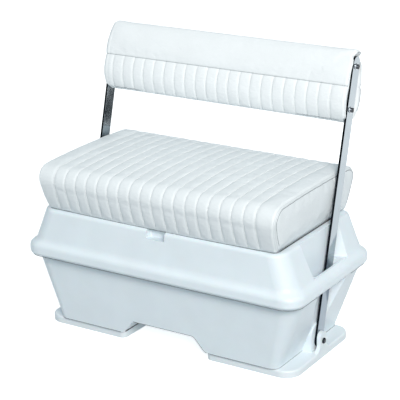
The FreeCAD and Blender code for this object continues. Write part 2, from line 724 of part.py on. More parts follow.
def flange_screw_places():
    lines = (-flange_screw_line, flange_screw_line)
    spots = spread_along(FLANGE_SCREWS, size["flange_screw_pitch"])
    return [(x, y) for y in lines for x in spots]


def hinge_screw_places(count):
    """Screws of one leaf; one leaf has an even count and the other an odd, so that no two heads meet."""
    return [(x, leaf_screw_line) for x in spread_along(count, size["hinge_screw_pitch"])]


def turned(name, corners, height):
    """A round solid about an axis along X, from half of its outline."""
    outline = draw_outline(new_sketch(f"{name}_outline", LEVEL, ZERO), corners)
    solid = doc.addObject("Part::Revolution", name)
    solid.Source = outline
    solid.Axis = X_AXIS
    solid.Solid = True
    solid.setExpression("Placement.Base.z", height.words)
    return solid


def pivot_hardware():
    """Bolt and nut of the right pivot, and their twins on the left."""
    radius, head = size["pivot_diameter"] / 2, size["pivot_head_diameter"] / 2
    tip = nut_seat - size["nut_height"] - size["bolt_end"]
    crown = ear_outside + size["pivot_head_height"]
    bolt = turned("PivotBoltRight", [
        (tip, ZERO, None), (crown, ZERO, None), (crown, head, size["pivot_head_height"] * 0.7),
        (ear_outside, head, None), (ear_outside, radius, None), (tip, radius, None)], size["pivot_height"])
    keep(bolt, "pivot_bolt_right")
    mirrored_node("PivotBoltLeft", bolt, "pivot_bolt_left")
    hexagon = doc.addObject("Part::Prism", "nut_hexagon")
    hexagon.Polygon = 6
    hexagon.Placement = FreeCAD.Placement(Vector(), FreeCAD.Rotation(Y_AXIS, 90))
    across_corners = size["nut_across"] / cosine(Size("30", 30.0))
    hexagon.setExpression("Circumradius", (across_corners / 2).words)
    hexagon.setExpression("Height", size["nut_height"].words)
    hexagon.setExpression("Placement.Base.x", (nut_seat - size["nut_height"]).words)
    hexagon.setExpression("Placement.Base.z", size["pivot_height"].words)
    bore = cylinder("nut_bore", SIDEWAYS, (tip, ZERO, size["pivot_height"]),
                    radius + size["bushing_fit"], size["boss_inner"] + size["nut_height"])
    nut = keep(cut("PivotNutRight", hexagon, bore), "pivot_nut_right")
    mirrored_node("PivotNutLeft", nut, "pivot_nut_left")


def liner():
    """The inner tub, hung by its flange in the cover's opening."""
    clear, draft, wall = size["liner_clearance"], size["liner_draft"], size["liner_wall"]
    end, front, corner = opening_end - clear, opening_front - clear, size["opening_corner"] - clear
    floor = tub_bottom + size["tunnel_height"] + size["wall"] + size["liner_floor_gap"]
    bend, step = size["liner_bevel"], size["liner_bevel"] * 0.3
    outside = stack("liner_outside", [
        (floor, end - draft - bend, front - draft - bend, corner - bend / 2),
        (floor + step, end - draft - step, front - draft - step, corner - step / 2),
        (floor + bend, end - draft, front - draft, corner),
        (cover_top + wall, end, front, corner)])
    lip = size["liner_flange"]
    flange = stack("liner_flange_plate", [
        (cover_top, opening_end + lip, opening_front + lip, size["opening_corner"] + lip),
        (cover_top + wall, opening_end + lip, opening_front + lip, size["opening_corner"] + lip)])
    inside_floor, inside_top = floor + wall, cover_top + wall * 2
    inside_end, inside_front, inside_corner = end - draft - wall, front - draft - wall, corner - wall
    inside = stack("liner_inside", [
        (inside_floor, inside_end - bend, inside_front - bend, inside_corner - bend / 2),
        (inside_floor + step, inside_end - step, inside_front - step, inside_corner - step / 2),
        (inside_floor + bend, inside_end, inside_front, inside_corner),
        (inside_top, end - wall, front - wall, inside_corner)])
    keep(cut("LinerTub", fused("liner_solid", [outside, flange]), inside), "liner_tub")


def gasket():
    """The seal on the liner's flange."""
    low, high = cover_top + size["liner_wall"], board_bottom - size["gasket_clearance"]
    inner, outer = size["liner_wall"] / 2, size["liner_wall"] / 2 + size["gasket_width"]
    levels = []
    for name, grow in (("gasket_outside", outer), ("gasket_inside", inner)):
        spill = size["liner_wall"] / 2 if grow is inner else ZERO
        levels.append(stack(name, [
            (low - spill, opening_end + grow, opening_front + grow, size["opening_corner"] + grow),
            (high + spill, opening_end + grow, opening_front + grow, size["opening_corner"] + grow)]))
    keep(cut("OpeningGasket", *levels), "opening_gasket")


def hinge_leaf(name, label, low, first, screws):
    """One leaf of the long hinge: a strip, and every second knuckle joined to it by a tongue."""
    count, half = HINGE_KNUCKLES, size["hinge_half_length"]
    pitch = half * 2 / count
    strip = doc.addObject("Part::Box", f"{name}_strip")
    strip.setExpression("Length", (half * 2).words)
    strip.setExpression("Width", (leaf_edge - leaf_front).words)
    strip.setExpression("Height", size["hinge_leaf"].words)
    for axis, offset in zip("xyz", (-half, leaf_front, low)):
        strip.setExpression(f"Placement.Base.{axis}", offset.words)
    pieces = [strip]
    length = pitch - size["knuckle_gap"]
    for index in range(first, count, 2):
        start = pitch * index - half + size["knuckle_gap"] / 2
        tongue = doc.addObject("Part::Box", f"{name}_tongue_{index}")
        tongue.setExpression("Length", length.words)
        tongue.setExpression("Width", (hinge_back - leaf_edge + size["knuckle_gap"]).words)
        tongue.setExpression("Height", size["hinge_leaf"].words)
        for axis, offset in zip("xyz", (start, leaf_edge - size["knuckle_gap"], low)):
            tongue.setExpression(f"Placement.Base.{axis}", offset.words)
        knuckle = cylinder(f"{name}_knuckle_{index}", SIDEWAYS, (start, hinge_back, hinge_height),
                           size["hinge_knuckle"] / 2, length)
        pieces += [tongue, knuckle]
    bore = cylinder(f"{name}_bore", SIDEWAYS, (-half - size["wall"], hinge_back, hinge_height),
                    size["hinge_pin_diameter"] / 2 + size["hinge_pin_fit"], (half + size["wall"]) * 2)
    holes = drills(f"{name}_holes", hinge_screw_places(screws),
                   size["hinge_screw_diameter"] / 2 + size["bolt_clearance"],
                   low - size["hinge_leaf"], size["hinge_leaf"] * 3)
    keep(cut(name, fused(f"{name}_solid", pieces), fused(f"{name}_cuts", [bore, holes])), label)


def hinge():
    half = size["hinge_half_length"]
    hinge_leaf("HingeLeafShell", "hinge_leaf_shell", cover_top, 0, SHELL_LEAF_SCREWS)
    hinge_leaf("HingeLeafLid", "hinge_leaf_lid", board_bottom - size["hinge_leaf"], 1, LID_LEAF_SCREWS)
    pin = cylinder("HingePin", SIDEWAYS, (-half, hinge_back, hinge_height),
                   size["hinge_pin_diameter"] / 2, half * 2)
    keep(pin, "hinge_pin")
    screw = fastener(size["hinge_screw_head"].number / 2, size["hinge_screw_head_height"].number,
                     size["hinge_screw_diameter"].number / 2,
                     (size["hinge_leaf"] + size["hinge_screw_length"]).number)
    group("HingeScrewsShell", "hinge_screws_shell", screw,
          [(x, y, cover_top + size["hinge_leaf"]) for x, y in hinge_screw_places(SHELL_LEAF_SCREWS)])
    group("HingeScrewsLid", "hinge_screws_lid", screw,
          [(x, y, board_bottom - size["hinge_leaf"]) for x, y in hinge_screw_places(LID_LEAF_SCREWS)],
          FreeCAD.Rotation(X_AXIS, 180))


def seat_board():
    inset, corner = size["board_inset"], size["board_corner"]
    board = stack("board_blank", [
        (board_bottom, cushion_low_end - inset, cushion_low_front - inset, corner),
        (board_bottom + size["board_thickness"], cushion_low_end - inset, cushion_low_front - inset, corner)])
    holes = drills("board_holes", hinge_screw_places(LID_LEAF_SCREWS),
                   size["hinge_screw_diameter"] / 2 + size["bolt_clearance"],
                   board_bottom - size["wall"], size["board_thickness"] + size["wall"] * 2)
    keep(cut("SeatBoard", board, holes), "seat_board")


def channel_stations(pitch, end):
    """Where sections stand along X, and how far the skin is drawn in at each.

    The skin is drawn in fully at a sewn channel, a quarter as far at the crease's edges, and
    not at all at the crown of the strip between two channels. As many channels are sewn as fit."""
    crease, depth = size["channel_crease"].number, size["channel_depth"].number
    each_side = int((end - size["end_strip"].number) // pitch)
    seams = spread_along(each_side * 2 + 1, pitch)
    half_strip = (end - seams[-1]) / 2
    stations = [(-end, depth), (-end + crease, depth / 4), (-end + half_strip, 0)]
    for seam in seams:
        stations += [(seam - crease, depth / 4), (seam, depth), (seam + crease, depth / 4)]
        if seam < seams[-1]:
            stations.append((seam + pitch / 2, 0))
    return stations + [(end - half_strip, 0), (end - crease, depth / 4), (end, depth)]


def skin_through(stations, profile):
    """A closed solid through profiles at stations along X."""
    return Part.makeLoft([profile(place, drawn) for place, drawn in stations], True, True)


def seat_profile(place, drawn):
    """The cushion across its depth: flared front and back, rounded edges, crowned top."""
    low, front = cushion_bottom.number, cushion_low_front.number - drawn / 2
    radius = size["cushion_round"].number - drawn
    reach = cushion_low_front.number + size["cushion_flare"].number - size["cushion_round"].number
    middle = low + size["cushion_side"].number - size["cushion_round"].number
    along = 1 - 0.5 * (place / cushion_end.number) ** 2
    crown = size["cushion_crown"].number * along
    to_centre = Vector(0, reach - front, middle - low)
    lean = math.atan2(to_centre.y, to_centre.z)
    to_wall = lean + math.asin(radius / to_centre.Length)
    straight = math.sqrt(to_centre.Length ** 2 - radius ** 2)
    wall_end = Vector(place, front + straight * math.sin(to_wall), low + straight * math.cos(to_wall))
    slope = math.atan(2 * crown / reach)
    top_end = Vector(place, reach + radius * math.sin(slope), middle + radius * math.cos(slope))
    halfway = (math.atan2(wall_end.z - middle, wall_end.y - reach) + math.pi / 2 - slope) / 2
    shoulder = Vector(place, reach + radius * math.cos(halfway), middle + radius * math.sin(halfway))
    summit = Vector(place, 0, top_end.z + crown)
    other = [Vector(point.x, -point.y, point.z) for point in (wall_end, shoulder, top_end)]
    foot, other_foot = Vector(place, front, low), Vector(place, -front, low)
    return Part.Wire([
        Part.makeLine(other_foot, foot),
        Part.makeLine(foot, wall_end),
        Part.Arc(wall_end, shoulder, top_end).toShape(),
        Part.Arc(top_end, summit, other[2]).toShape(),
        Part.Arc(other[2], other[1], other[0]).toShape(),
        Part.makeLine(other[0], other_foot)])


def seat_cushion():
    stations = channel_stations(size["channel_pitch"].number, cushion_end.number)
    cushion = skin_through(stations, seat_profile)
    low, side = cushion_bottom.number, size["cushion_side"].number
    top = low + side * 1.2
    spread = (cushion_end + size["cushion_draw_end"] * 0.2).number
    deep = (cushion_low_front + size["cushion_flare"]).number * 1.1
    taper = Part.Face(Part.makePolygon([
        Vector(-cushion_low_end.number, -deep, low), Vector(cushion_low_end.number, -deep, low),
        Vector(spread, -deep, top), Vector(-spread, -deep, top),
        Vector(-cushion_low_end.number, -deep, low)])).extrude(Vector(0, deep * 2, 0))
    cushion = cushion.common(taper)
    clear = size["board_clearance"].number
    end = (cushion_low_end - size["board_inset"]).number + clear
    front = (cushion_low_front - size["board_inset"]).number + clear
    room_top = (board_bottom + size["board_thickness"]).number + clear
    room = Part.makeBox(end * 2, front * 2, room_top - low + clear, Vector(-end, -front, low - clear))
    half = size["hinge_half_length"].number + clear * 4
    relief_top = board_bottom.number - size["hinge_leaf"].number / 2 + clear * 3
    relief = Part.makeBox(half * 2, deep, relief_top - low + clear,
                          Vector(-half, leaf_front.number, low - clear))
    feature = doc.addObject("Part::Feature", "SeatCushion")
    feature.Shape = cushion.cut(room.fuse(relief))
    keep(feature, "seat_cushion")


def back_profile(place, drawn):
    """The backrest across its thickness, standing upright with the pivot at the origin."""
    low = back_start.number
    seam, top = low + size["back_seam"].number, low + size["back_height"].number
    tip = size["back_top_round"].number
    thick, belly = size["back_half_thick"].number, size["back_belly"].number
    foot = size["back_bottom_half"].number - drawn / 2
    crest = size["back_top_half"].number

    def point(forward, height):
        return Vector(place, -forward, height)

    lower = low + tip + (seam - low) * 0.5
    front_foot, back_foot = point(foot, low + tip), point(-foot, low + tip)
    front_seam, back_seam = point(thick - drawn / 4, seam), point(-thick + drawn / 4, seam)
    front_top, back_top = point(crest, top - tip), point(-crest, top - tip)
    middle = (seam + top - tip) / 2
    bulge = (thick + crest) / 2 + belly * 1.6
    return Part.Wire([
        Part.Arc(back_foot, point(0, low + drawn / 4), front_foot).toShape(),
        Part.Arc(front_foot, point(thick + belly - drawn, lower), front_seam).toShape(),
        Part.Arc(front_seam, point(bulge, middle), front_top).toShape(),
        Part.Arc(front_top, point(0, top), back_top).toShape(),
        Part.Arc(back_top, point(-bulge, middle), back_seam).toShape(),
        Part.Arc(back_seam, point(-thick - belly + drawn, lower), back_foot).toShape()])


def lean(item):
    """Leans a piece that was made upright, with the pivot at its origin, back to its rest."""
    item.Placement = FreeCAD.Placement(Vector(), FreeCAD.Rotation(-X_AXIS, size["lean_angle"].number))
    item.setExpression("Placement.Base.z", size["pivot_height"].words)
    item.setExpression("Placement.Rotation.Angle", f"{size['lean_angle'].words} * 1 deg")
    return item


def back_bolt_heights():
    return back_start + size["back_bolt_low"], back_start + size["back_bolt_high"]


def draw_bar(sketch, low, high, half):
    """An upright bar's outline with full-round ends, centred at two heights."""
    x, bottom, top = half.number, low.number, high.number
    right = sketch.addGeometry(Part.LineSegment(Vector(x, bottom, 0), Vector(x, top, 0)))
    left = sketch.addGeometry(Part.LineSegment(Vector(-x, top, 0), Vector(-x, bottom, 0)))
    upper = sketch.addGeometry(Part.ArcOfCircle(Part.Circle(Vector(0, top, 0), Z_AXIS, x), 0, math.pi))
    lower = sketch.addGeometry(
        Part.ArcOfCircle(Part.Circle(Vector(0, bottom, 0), Z_AXIS, x), math.pi, 2 * math.pi))
    for side, arc, side_end, arc_end in ((right, upper, 2, 1), (left, upper, 1, 2),
                                         (left, lower, 2, 1), (right, lower, 1, 2)):
        sketch.addConstraint(Sketcher.Constraint("Tangent", side, side_end, arc, arc_end))
    sketch.addConstraint(Sketcher.Constraint("Vertical", right))
    hold(sketch, Sketcher.Constraint("DistanceX", -1, 1, upper, 3, 0.0), ZERO)
    hold(sketch, Sketcher.Constraint("DistanceY", -1, 1, upper, 3, top), high)
    hold(sketch, Sketcher.Constraint("DistanceY", -1, 1, lower, 3, bottom), low)
    hold(sketch, Sketcher.Constraint("Radius", upper, x), half)


def arm():
    """The right bar: full-round ends, the bushing's hole at the pivot and two bolt holes."""
    body = new_body("ArmRight", "arm_right")
    outline = new_sketch("arm_outline", SIDEWAYS, arm_inside, body)
    half = size["arm_width"] / 2
    draw_bar(outline, ZERO, size["arm_length"] - half, half)
    bushing_hole = size["pivot_diameter"] / 2 + size["pivot_fit"] + size["bushing_wall"] + size["bushing_fit"]
    padded_outline(body, outline, size["arm_thickness"])
    eased(body, "arm_edges", lambda box: box.XLength < 0.01, size["arm_edge_round"])
    holes = new_sketch("arm_holes", SIDEWAYS, arm_inside, body)
    draw_circle(holes, ZERO, ZERO, bushing_hole)
    for height in back_bolt_heights():
        draw_circle(holes, ZERO, height, size["back_bolt_diameter"] / 2 + size["bolt_clearance"])
    bored(body, holes, True)
    return lean(body)


def bushing():
    radius = size["pivot_diameter"] / 2 + size["pivot_fit"]
    outer = cylinder("bushing_outside", SIDEWAYS, (arm_inside, ZERO, ZERO), radius + size["bushing_wall"],
                     size["arm_thickness"])
    bore = cylinder("bushing_bore", SIDEWAYS, (arm_inside - size["wall"], ZERO, ZERO), radius,
                    size["arm_thickness"] + size["wall"] * 2)
    return lean(keep(cut("PivotBushingRight", outer, bore), "pivot_bushing_right"))


def back_ends():
    """For each end of the backrest: which side it is on, and the turn that points a bolt inwards."""
    return ((1, FreeCAD.Rotation(Y_AXIS, 90)), (-1, FreeCAD.Rotation(Y_AXIS, -90)))


def group_on_arms(name, label, shape, offset):
    """Like pieces at each bolt of each arm, set out from the middle by an offset."""
    copies = []
    for side, rotation in back_ends():
        for height in back_bolt_heights():
            copy = shape.copy()
            copy.Placement = FreeCAD.Placement(Vector(side * offset.number, 0, height.number), rotation)
            copies.append(copy)
    feature = doc.addObject("Part::Feature", name)
    feature.Shape = Part.makeCompound(copies)
    return lean(keep(feature, label))


def ring(outer, inner, length):
    """A washer or sleeve below the origin."""
    base = Vector(0, 0, -length)
    return Part.makeCylinder(outer, length, base).cut(Part.makeCylinder(inner, length * 3, base * 2))


def backrest_hardware():
    bolt = fastener(size["back_bolt_head"].number / 2, size["back_bolt_head_height"].number,
                    size["back_bolt_diameter"].number / 2, size["back_bolt_length"].number)
    group_on_arms("BackrestBolts", "backrest_bolts", bolt, arm_outside + size["washer_thickness"])
    hole = (size["back_bolt_diameter"] / 2 + size["bushing_fit"]).number
    washer = ring(size["washer_diameter"].number / 2, hole, size["washer_thickness"].number)
    group_on_arms("BackrestWashers", "backrest_washers", washer, arm_outside + size["washer_thickness"])
    insert = ring(size["insert_diameter"].number / 2, hole, size["insert_length"].number)
    group_on_arms("BackrestInserts", "backrest_inserts", insert, back_board_end)


def board_blank(grow):
    """The backrest board, upright, or the room for it in the pad."""
    half, end = size["board_thickness"].number / 2 + grow, back_board_end.number + grow
    low = (back_start + size["back_board_edge"]).number - grow
    high = (back_start + size["back_height"] - size["back_board_edge"]).number + grow
    return Part.makeBox(end * 2, half * 2, high - low, Vector(-end, -half, low))


def bolt_bores(radius, start, length):
    """Round bores along X from both ends, at the heights of the backrest's bolts."""
    bores = []
    for side, rotation in back_ends():
        for height in back_bolt_heights():
            bores.append(Part.makeCylinder(radius, length, Vector(side * start, 0, height.number),
                                           X_AXIS * -side))
    return Part.makeCompound(bores)


def backrest():
    stations = channel_stations(size["back_channel_pitch"].number, back_end.number)
    pad = skin_through(stations, back_profile)
    hole = (size["insert_diameter"] / 2).number
    length = (size["insert_length"] + size["bushing_fit"]).number
    pad = pad.cut(board_blank(size["board_clearance"].number))
    pad = pad.cut(bolt_bores(hole, back_end.number + hole, length))
    feature = doc.addObject("Part::Feature", "BackrestPad")
    feature.Shape = pad
    lean(keep(feature, "backrest_pad"))
    board = board_blank(0).cut(bolt_bores(hole + size["bushing_fit"].number, back_board_end.number, length))
    feature = doc.addObject("Part::Feature", "BackrestBoard")
    feature.Shape = board
    lean(keep(feature, "backrest_board"))


recess = fan_recess()
lower_shell(recess)
upper_shell(recess)
foot = foot_plate()
mirrored_node("FootPlateLeft", foot, "foot_plate_left")
liner()
gasket()
screw = fastener(size["screw_head"].number / 2, size["screw_head_height"].number,
                 size["screw_diameter"].number / 2, size["flange_screw_length"].number)
group("FlangeScrews", "flange_screws", screw,
      [(x, y, parting + size["wall"]) for x, y in flange_screw_places()])
screw = fastener(size["screw_head"].number / 2, size["screw_head_height"].number,
                 size["screw_diameter"].number / 2, size["screw_length"].number)
group("FootScrews", "foot_screws", screw,
      [(x * side, y, size["foot_thickness"] / 2) for side in (-1, 1) for x, y in foot_screw_places()],
      FreeCAD.Rotation(X_AXIS, 180))
pivot_hardware()
hinge()
seat_board()
seat_cushion()
right_arm = arm()
mirrored_node("ArmLeft", right_arm, "arm_left")
right_bushing = bushing()
mirrored_node("PivotBushingLeft", right_bushing, "pivot_bushing_left")
backrest_hardware()
backrest()

doc.recompute()
failed = [item.Name for item in doc.Objects if "Invalid" in item.State or "Error" in item.State]
if failed:
    raise SystemExit(f"these did not build: {failed}")
for item in nodes:
    shape = item.Shape
    if shape.isNull() or not shape.isValid():
        raise SystemExit(f"{item.Label} is not a valid shape")
for item in nodes:
    item.Shape.exportStep(f"parts/{item.Label}.step")
    print(item.Label, len(item.Shape.Solids), round(item.Shape.Volume))
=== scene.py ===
"""A boat seat box with a swing-over backrest, dressed for the camera.

It wears channelled vinyl, moulded plastic and polished steel.
"""

import math

import bmesh
import bpy
import numpy as np
from mathutils import Matrix, Vector


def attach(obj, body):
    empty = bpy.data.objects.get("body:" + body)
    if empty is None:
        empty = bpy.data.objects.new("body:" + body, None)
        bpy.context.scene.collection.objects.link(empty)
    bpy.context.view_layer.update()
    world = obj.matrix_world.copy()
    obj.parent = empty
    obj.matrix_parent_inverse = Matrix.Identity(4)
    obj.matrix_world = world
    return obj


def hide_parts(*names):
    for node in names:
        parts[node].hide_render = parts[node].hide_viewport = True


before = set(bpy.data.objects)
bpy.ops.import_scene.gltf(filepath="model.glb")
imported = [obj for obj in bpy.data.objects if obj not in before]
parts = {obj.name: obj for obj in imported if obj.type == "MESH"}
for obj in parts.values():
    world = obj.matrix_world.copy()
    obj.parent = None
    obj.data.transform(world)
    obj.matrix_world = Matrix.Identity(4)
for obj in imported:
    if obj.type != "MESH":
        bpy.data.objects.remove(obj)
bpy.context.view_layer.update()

# Lengths are in metres. x runs along the seat to the sitter's left, y to the rear and z up.
PIVOT_HEIGHT = 0.048
LEAN = math.radians(14.82)

# The seat: its outline across its depth, its ends, and what lies under it.
SEAT_LOW = 0.3522
SEAT_LOW_FRONT = 0.194
SEAT_ROUND = 0.042
SEAT_REACH = 0.183
SEAT_ROUND_HEIGHT = 0.436
SEAT_CROWN = 0.009
SEAT_WALL_BOW = 0.0022
SEAT_END = 0.368
SEAT_LOW_END = 0.357
SEAT_END_SLOPE = 0.0131 / 0.1512
SEAT_END_BULGE = 0.0045
SEAT_SEAMS = [(number - 9) * 0.0345 for number in range(19)]
BOARD_UNDERSIDE = 0.3575
BOARD_HALF_LENGTH = 0.346
BOARD_HALF_DEPTH = 0.183
HINGE_FRONT = 0.158
HINGE_HALF = 0.322
LEAF_TOP = 0.3562
GUSSET_SEAM = 0.097

# The seat's lower front edge hangs out and down in the middle, less and less up to a height.
SAG_OUT = 0.0050
SAG_DOWN = 0.0018
SAG_HEIGHT = 0.075

# The backrest, upright, with its heights above the pivot.
BACK_LOW = 0.580
BACK_SEAM = 0.677
BACK_TOP = 0.776
BACK_TIP = 0.007
BACK_END = 0.3735
BACK_END_BULGE = 0.0015
BACK_SEAMS = [(number - 10) * 0.0344 - 0.007 for number in range(21)]
ARM_HALF = 0.0195
ARM_TIP = 0.756

# Steps round each cover's outline, which starts at its lower front edge and goes back, up and over.
SEAT_UNDER, SEAT_RISE = 46, 18
SEAT_LOOP = 2 * (SEAT_UNDER + SEAT_RISE)
BACK_FOOT, BACK_LOWER, BACK_UPPER = 8, 18, 17
BACK_LOOP = 2 * (BACK_FOOT + BACK_LOWER + BACK_UPPER)

# Steps along each cover: from one seam to the next, and from the last seam to the end.
BETWEEN_SEAMS = [0, 0.045, 0.11, 0.25, 0.5, 0.75, 0.89, 0.955]
TO_SEAT_END = [0.1, 0.25, 0.45, 0.65, 0.795, 0.88, 0.95, 1.0]
TO_BACK_END = [0.12, 0.28, 0.45, 0.62, 0.731, 0.84, 0.93, 1.0]

# How both covers are sewn. The last three say where the cloth is held and the channels stop.
END_TURN, END_DRAWN = 0.007, 0.006
END_ROW, END_ROW_HALF, END_ROW_DEEP = 0.009, 0.003, 0.0012
CHANNEL_FADE = 0.016
GROOVE_HALF, GROOVE_SHARP = 0.0018, 1.2
CREASE_HALF = 0.0036
JOIN_DEEP, JOIN_NEAR = 0.0026, (1.0, 0.35, 0.05)
JOIN_CREASE, END_CREASE = 6, 3.0
HELD_ABOVE = 0.75
AT_END = 0.0005
CHANNEL_STOP = 0.004

# Stitches in the channels and in the rows beside the ends: from one to the next, and their length.
CHANNEL_STITCH = {"pitch": 0.0042, "length": 0.0038}
ROW_STITCH = {"pitch": 0.0040, "length": 0.0031}


class Shade:
    """A value that changes over a surface; arithmetic on it adds the shader's own maths."""

    def __init__(self, finish, socket):
        self.finish, self.socket = finish, socket

    def joined(self, operation, first, second):
        return self.finish.add("ShaderNodeMath", {"operation": operation}, {0: first, 1: second})

    def __add__(self, other):
        return self.joined("ADD", self, other)

    def __radd__(self, other):
        return self.joined("ADD", other, self)

    def __sub__(self, other):
        return self.joined("SUBTRACT", self, other)

    def __rsub__(self, other):
        return self.joined("SUBTRACT", other, self)

    def __mul__(self, other):
        return self.joined("MULTIPLY", self, other)

    def __rmul__(self, other):
        return self.joined("MULTIPLY", other, self)


class Finish:
    """One material, or the studio's surround, built from its nodes."""

    def __init__(self, name, kind=bpy.data.materials):
        self.material = kind.new(name)
        self.material.use_nodes = True
        self.tree = self.material.node_tree
        self.tree.nodes.clear()

    def add(self, kind, settings=None, inputs=None, output=0):
        made = self.tree.nodes.new(kind)
        for name, value in (settings or {}).items():
            if name == "stops":
                while len(made.color_ramp.elements) < len(value):
                    made.color_ramp.elements.new(0.5)
                for stop, (place, level) in zip(made.color_ramp.elements, value):
                    stop.position = place
                    stop.color = (level, level, level, 1)
            else:
                setattr(made, name, value)
        for name, value in (inputs or {}).items():
            if isinstance(value, Shade):
                self.tree.links.new(value.socket, made.inputs[name])
            else:
                made.inputs[name].default_value = value
        return Shade(self, made.outputs[output]) if made.outputs else None

    def place(self, stretch=(1, 1, 1), turn=0.0):
        point = self.add("ShaderNodeTexCoord", output="Object")
        if turn:
            point = self.add("ShaderNodeMapping", {}, {"Vector": point, "Rotation": (turn, 0, 0)})
        if stretch != (1, 1, 1):
            point = self.add(
                "ShaderNodeVectorMath", {"operation": "MULTIPLY"}, {0: point, 1: stretch})
        return point

    def grain(self, size, detail=2.0, rough=0.5, stretch=(1, 1, 1), turn=0.0):
        """Cloudy noise whose spots are about as wide as size."""
        return self.add("ShaderNodeTexNoise", {}, {
            "Vector": self.place(stretch, turn), "Scale": 1 / size, "Detail": detail,
            "Roughness": rough})

    def cells(self, size, kind="F1"):
        return self.add("ShaderNodeTexVoronoi", {"feature": kind}, {
            "Vector": self.place(), "Scale": 1 / size})

    def ramp(self, value, *stops):
        return self.add("ShaderNodeValToRGB", {"stops": stops}, {"Fac": value})

    def tint(self, amount, first, second):
        """The first colour where amount is 0 and the second where it is 1."""
        first, second = (colour if isinstance(colour, Shade) else (*colour, 1)
                         for colour in (first, second))
        return self.add("ShaderNodeMix", {"data_type": "RGBA"}, {
            "Factor": amount, 6: first, 7: second}, output=2)

    def edgewise(self):
        """1 where the surface looks along y or z, 0 where it looks along x."""
        along_x = self.add("ShaderNodeSeparateXYZ", {}, {
            0: self.add("ShaderNodeTexCoord", output="Normal")})
        return self.ramp(along_x * along_x, (0.45, 1.0), (0.80, 0.0))

    def bump(self, height, depth, under=None):
        inputs = {"Height": height, "Strength": 1.0, "Distance": depth}
        if under:
            inputs["Normal"] = under
        return self.add("ShaderNodeBump", {}, inputs)

    def done(self, **inputs):
        sockets = {name.replace("_", " "): value for name, value in inputs.items()}
        surface = self.add("ShaderNodeBsdfPrincipled", {}, sockets)
        self.add("ShaderNodeOutputMaterial", {}, {"Surface": surface})
        return self.material


def darker(colour, share):
    return tuple(level * share for level in colour)


def moulded_shell(name, colour, roughness=0.36):
    """White polyethylene from a mould: a soft orange-peel skin with faint clouds in it."""
    finish = Finish(name)
    clouds = finish.grain(0.09, 3)
    peel = finish.grain(0.0032, 2, 0.6)
    specks = finish.ramp(finish.grain(0.0011, 1), (0.62, 0.0), (0.74, 1.0))
    base = finish.tint(finish.ramp(clouds, (0.35, 0.0), (0.65, 1.0)), darker(colour, 0.965), colour)
    base = finish.tint(specks * 0.05, base, (0.55, 0.60, 0.62))
    normal = finish.bump(peel, 0.00022, finish.bump(clouds, 0.0011))
    return finish.done(
        Base_Color=base, Roughness=roughness + 0.10 * (peel + clouds) - 0.10, Normal=normal,
        Subsurface_Weight=0.06, Subsurface_Scale=0.006, Specular_IOR_Level=0.42)


def marine_vinyl(name, colour, crease):
    """Coated upholstery vinyl: fine leather grain, softly creased, with painted shade down in its
    seams.
    """
    finish = Finish(name)
    sewn = finish.add("ShaderNodeAttribute", {"attribute_name": "sewn"}, output="Fac")
    pebbles = finish.cells(0.0016, "SMOOTH_F1")
    pores = finish.grain(0.0007, 2, 0.6)
    creases = finish.grain(0.014, 4, 0.62, (1.0, 1.6, 1.6))
    clouds = finish.grain(0.06, 3)
    base = finish.tint(finish.ramp(clouds, (0.36, 0.0), (0.64, 1.0)), darker(colour, 0.975), colour)
    base = finish.tint(finish.ramp(pebbles, (0.0, 0.0), (0.9, 0.04)), base, crease)
    # Painted shade: the vinyl is tinted darker where the sewn attribute is high, in its seams and
    # creases.
    base = finish.tint(sewn * 0.12, base, crease)
    normal = finish.bump(creases, 0.0016)
    normal = finish.bump(pebbles * 0.7 + pores * 0.3, 0.00016, normal)
    return finish.done(
        Base_Color=base, Roughness=0.42 + 0.16 * pores, Normal=normal,
        Coat_Weight=0.10 + 0.10 * clouds, Coat_Roughness=0.32, Specular_IOR_Level=0.45)


def sewing_thread():
    finish = Finish("sewing_thread")
    twist = finish.grain(0.0006, 1, 0.5, (0.4, 1, 1))
    return finish.done(
        Base_Color=finish.tint(twist, (0.86, 0.88, 0.88), (0.96, 0.97, 0.97)),
        Roughness=0.55 + 0.2 * twist, Normal=finish.bump(twist, 0.00015), Sheen_Weight=0.15)


def polished_bar():
    """Flat stainless bar, polished along its length; its colour is painted darker lower down and
    near-black on its narrow edges: painted reflections of darker things.
    """
    finish = Finish("polished_bar")
    lines = finish.grain(0.0009, 3, 0.7, (1, 1, 0.006), -LEAN)
    wipes = finish.grain(0.05, 3, 0.6, (1, 1, 0.35), -LEAN)
    haze = finish.ramp(wipes, (0.42, 0.0), (0.70, 1.0))
    height = finish.add("ShaderNodeSeparateXYZ", {}, {0: finish.place()}, output=2)
    base = finish.tint(haze, (0.40, 0.44, 0.465), (0.375, 0.415, 0.445))
    # Painted reflection: lower down the bar's colour is painted darker, in two steps.
    base = finish.tint(finish.ramp(height, (0.36, 1.0), (0.60, 0.0)), base, (0.325, 0.365, 0.395))
    base = finish.tint(finish.ramp(height, (0.19, 1.0), (0.25, 0.0)), base, (0.22, 0.26, 0.30))
    # Painted reflection: faces that look along y or z, the bar's narrow edges, are painted
    # near-black.
    base = finish.tint(finish.edgewise(), base, (0.012, 0.014, 0.02))
    return finish.done(
        Base_Color=base, Metallic=1.0, Roughness=0.06 + 0.05 * haze + 0.04 * lines,
        Normal=finish.bump(lines, 0.00005, finish.bump(wipes, 0.0005)))


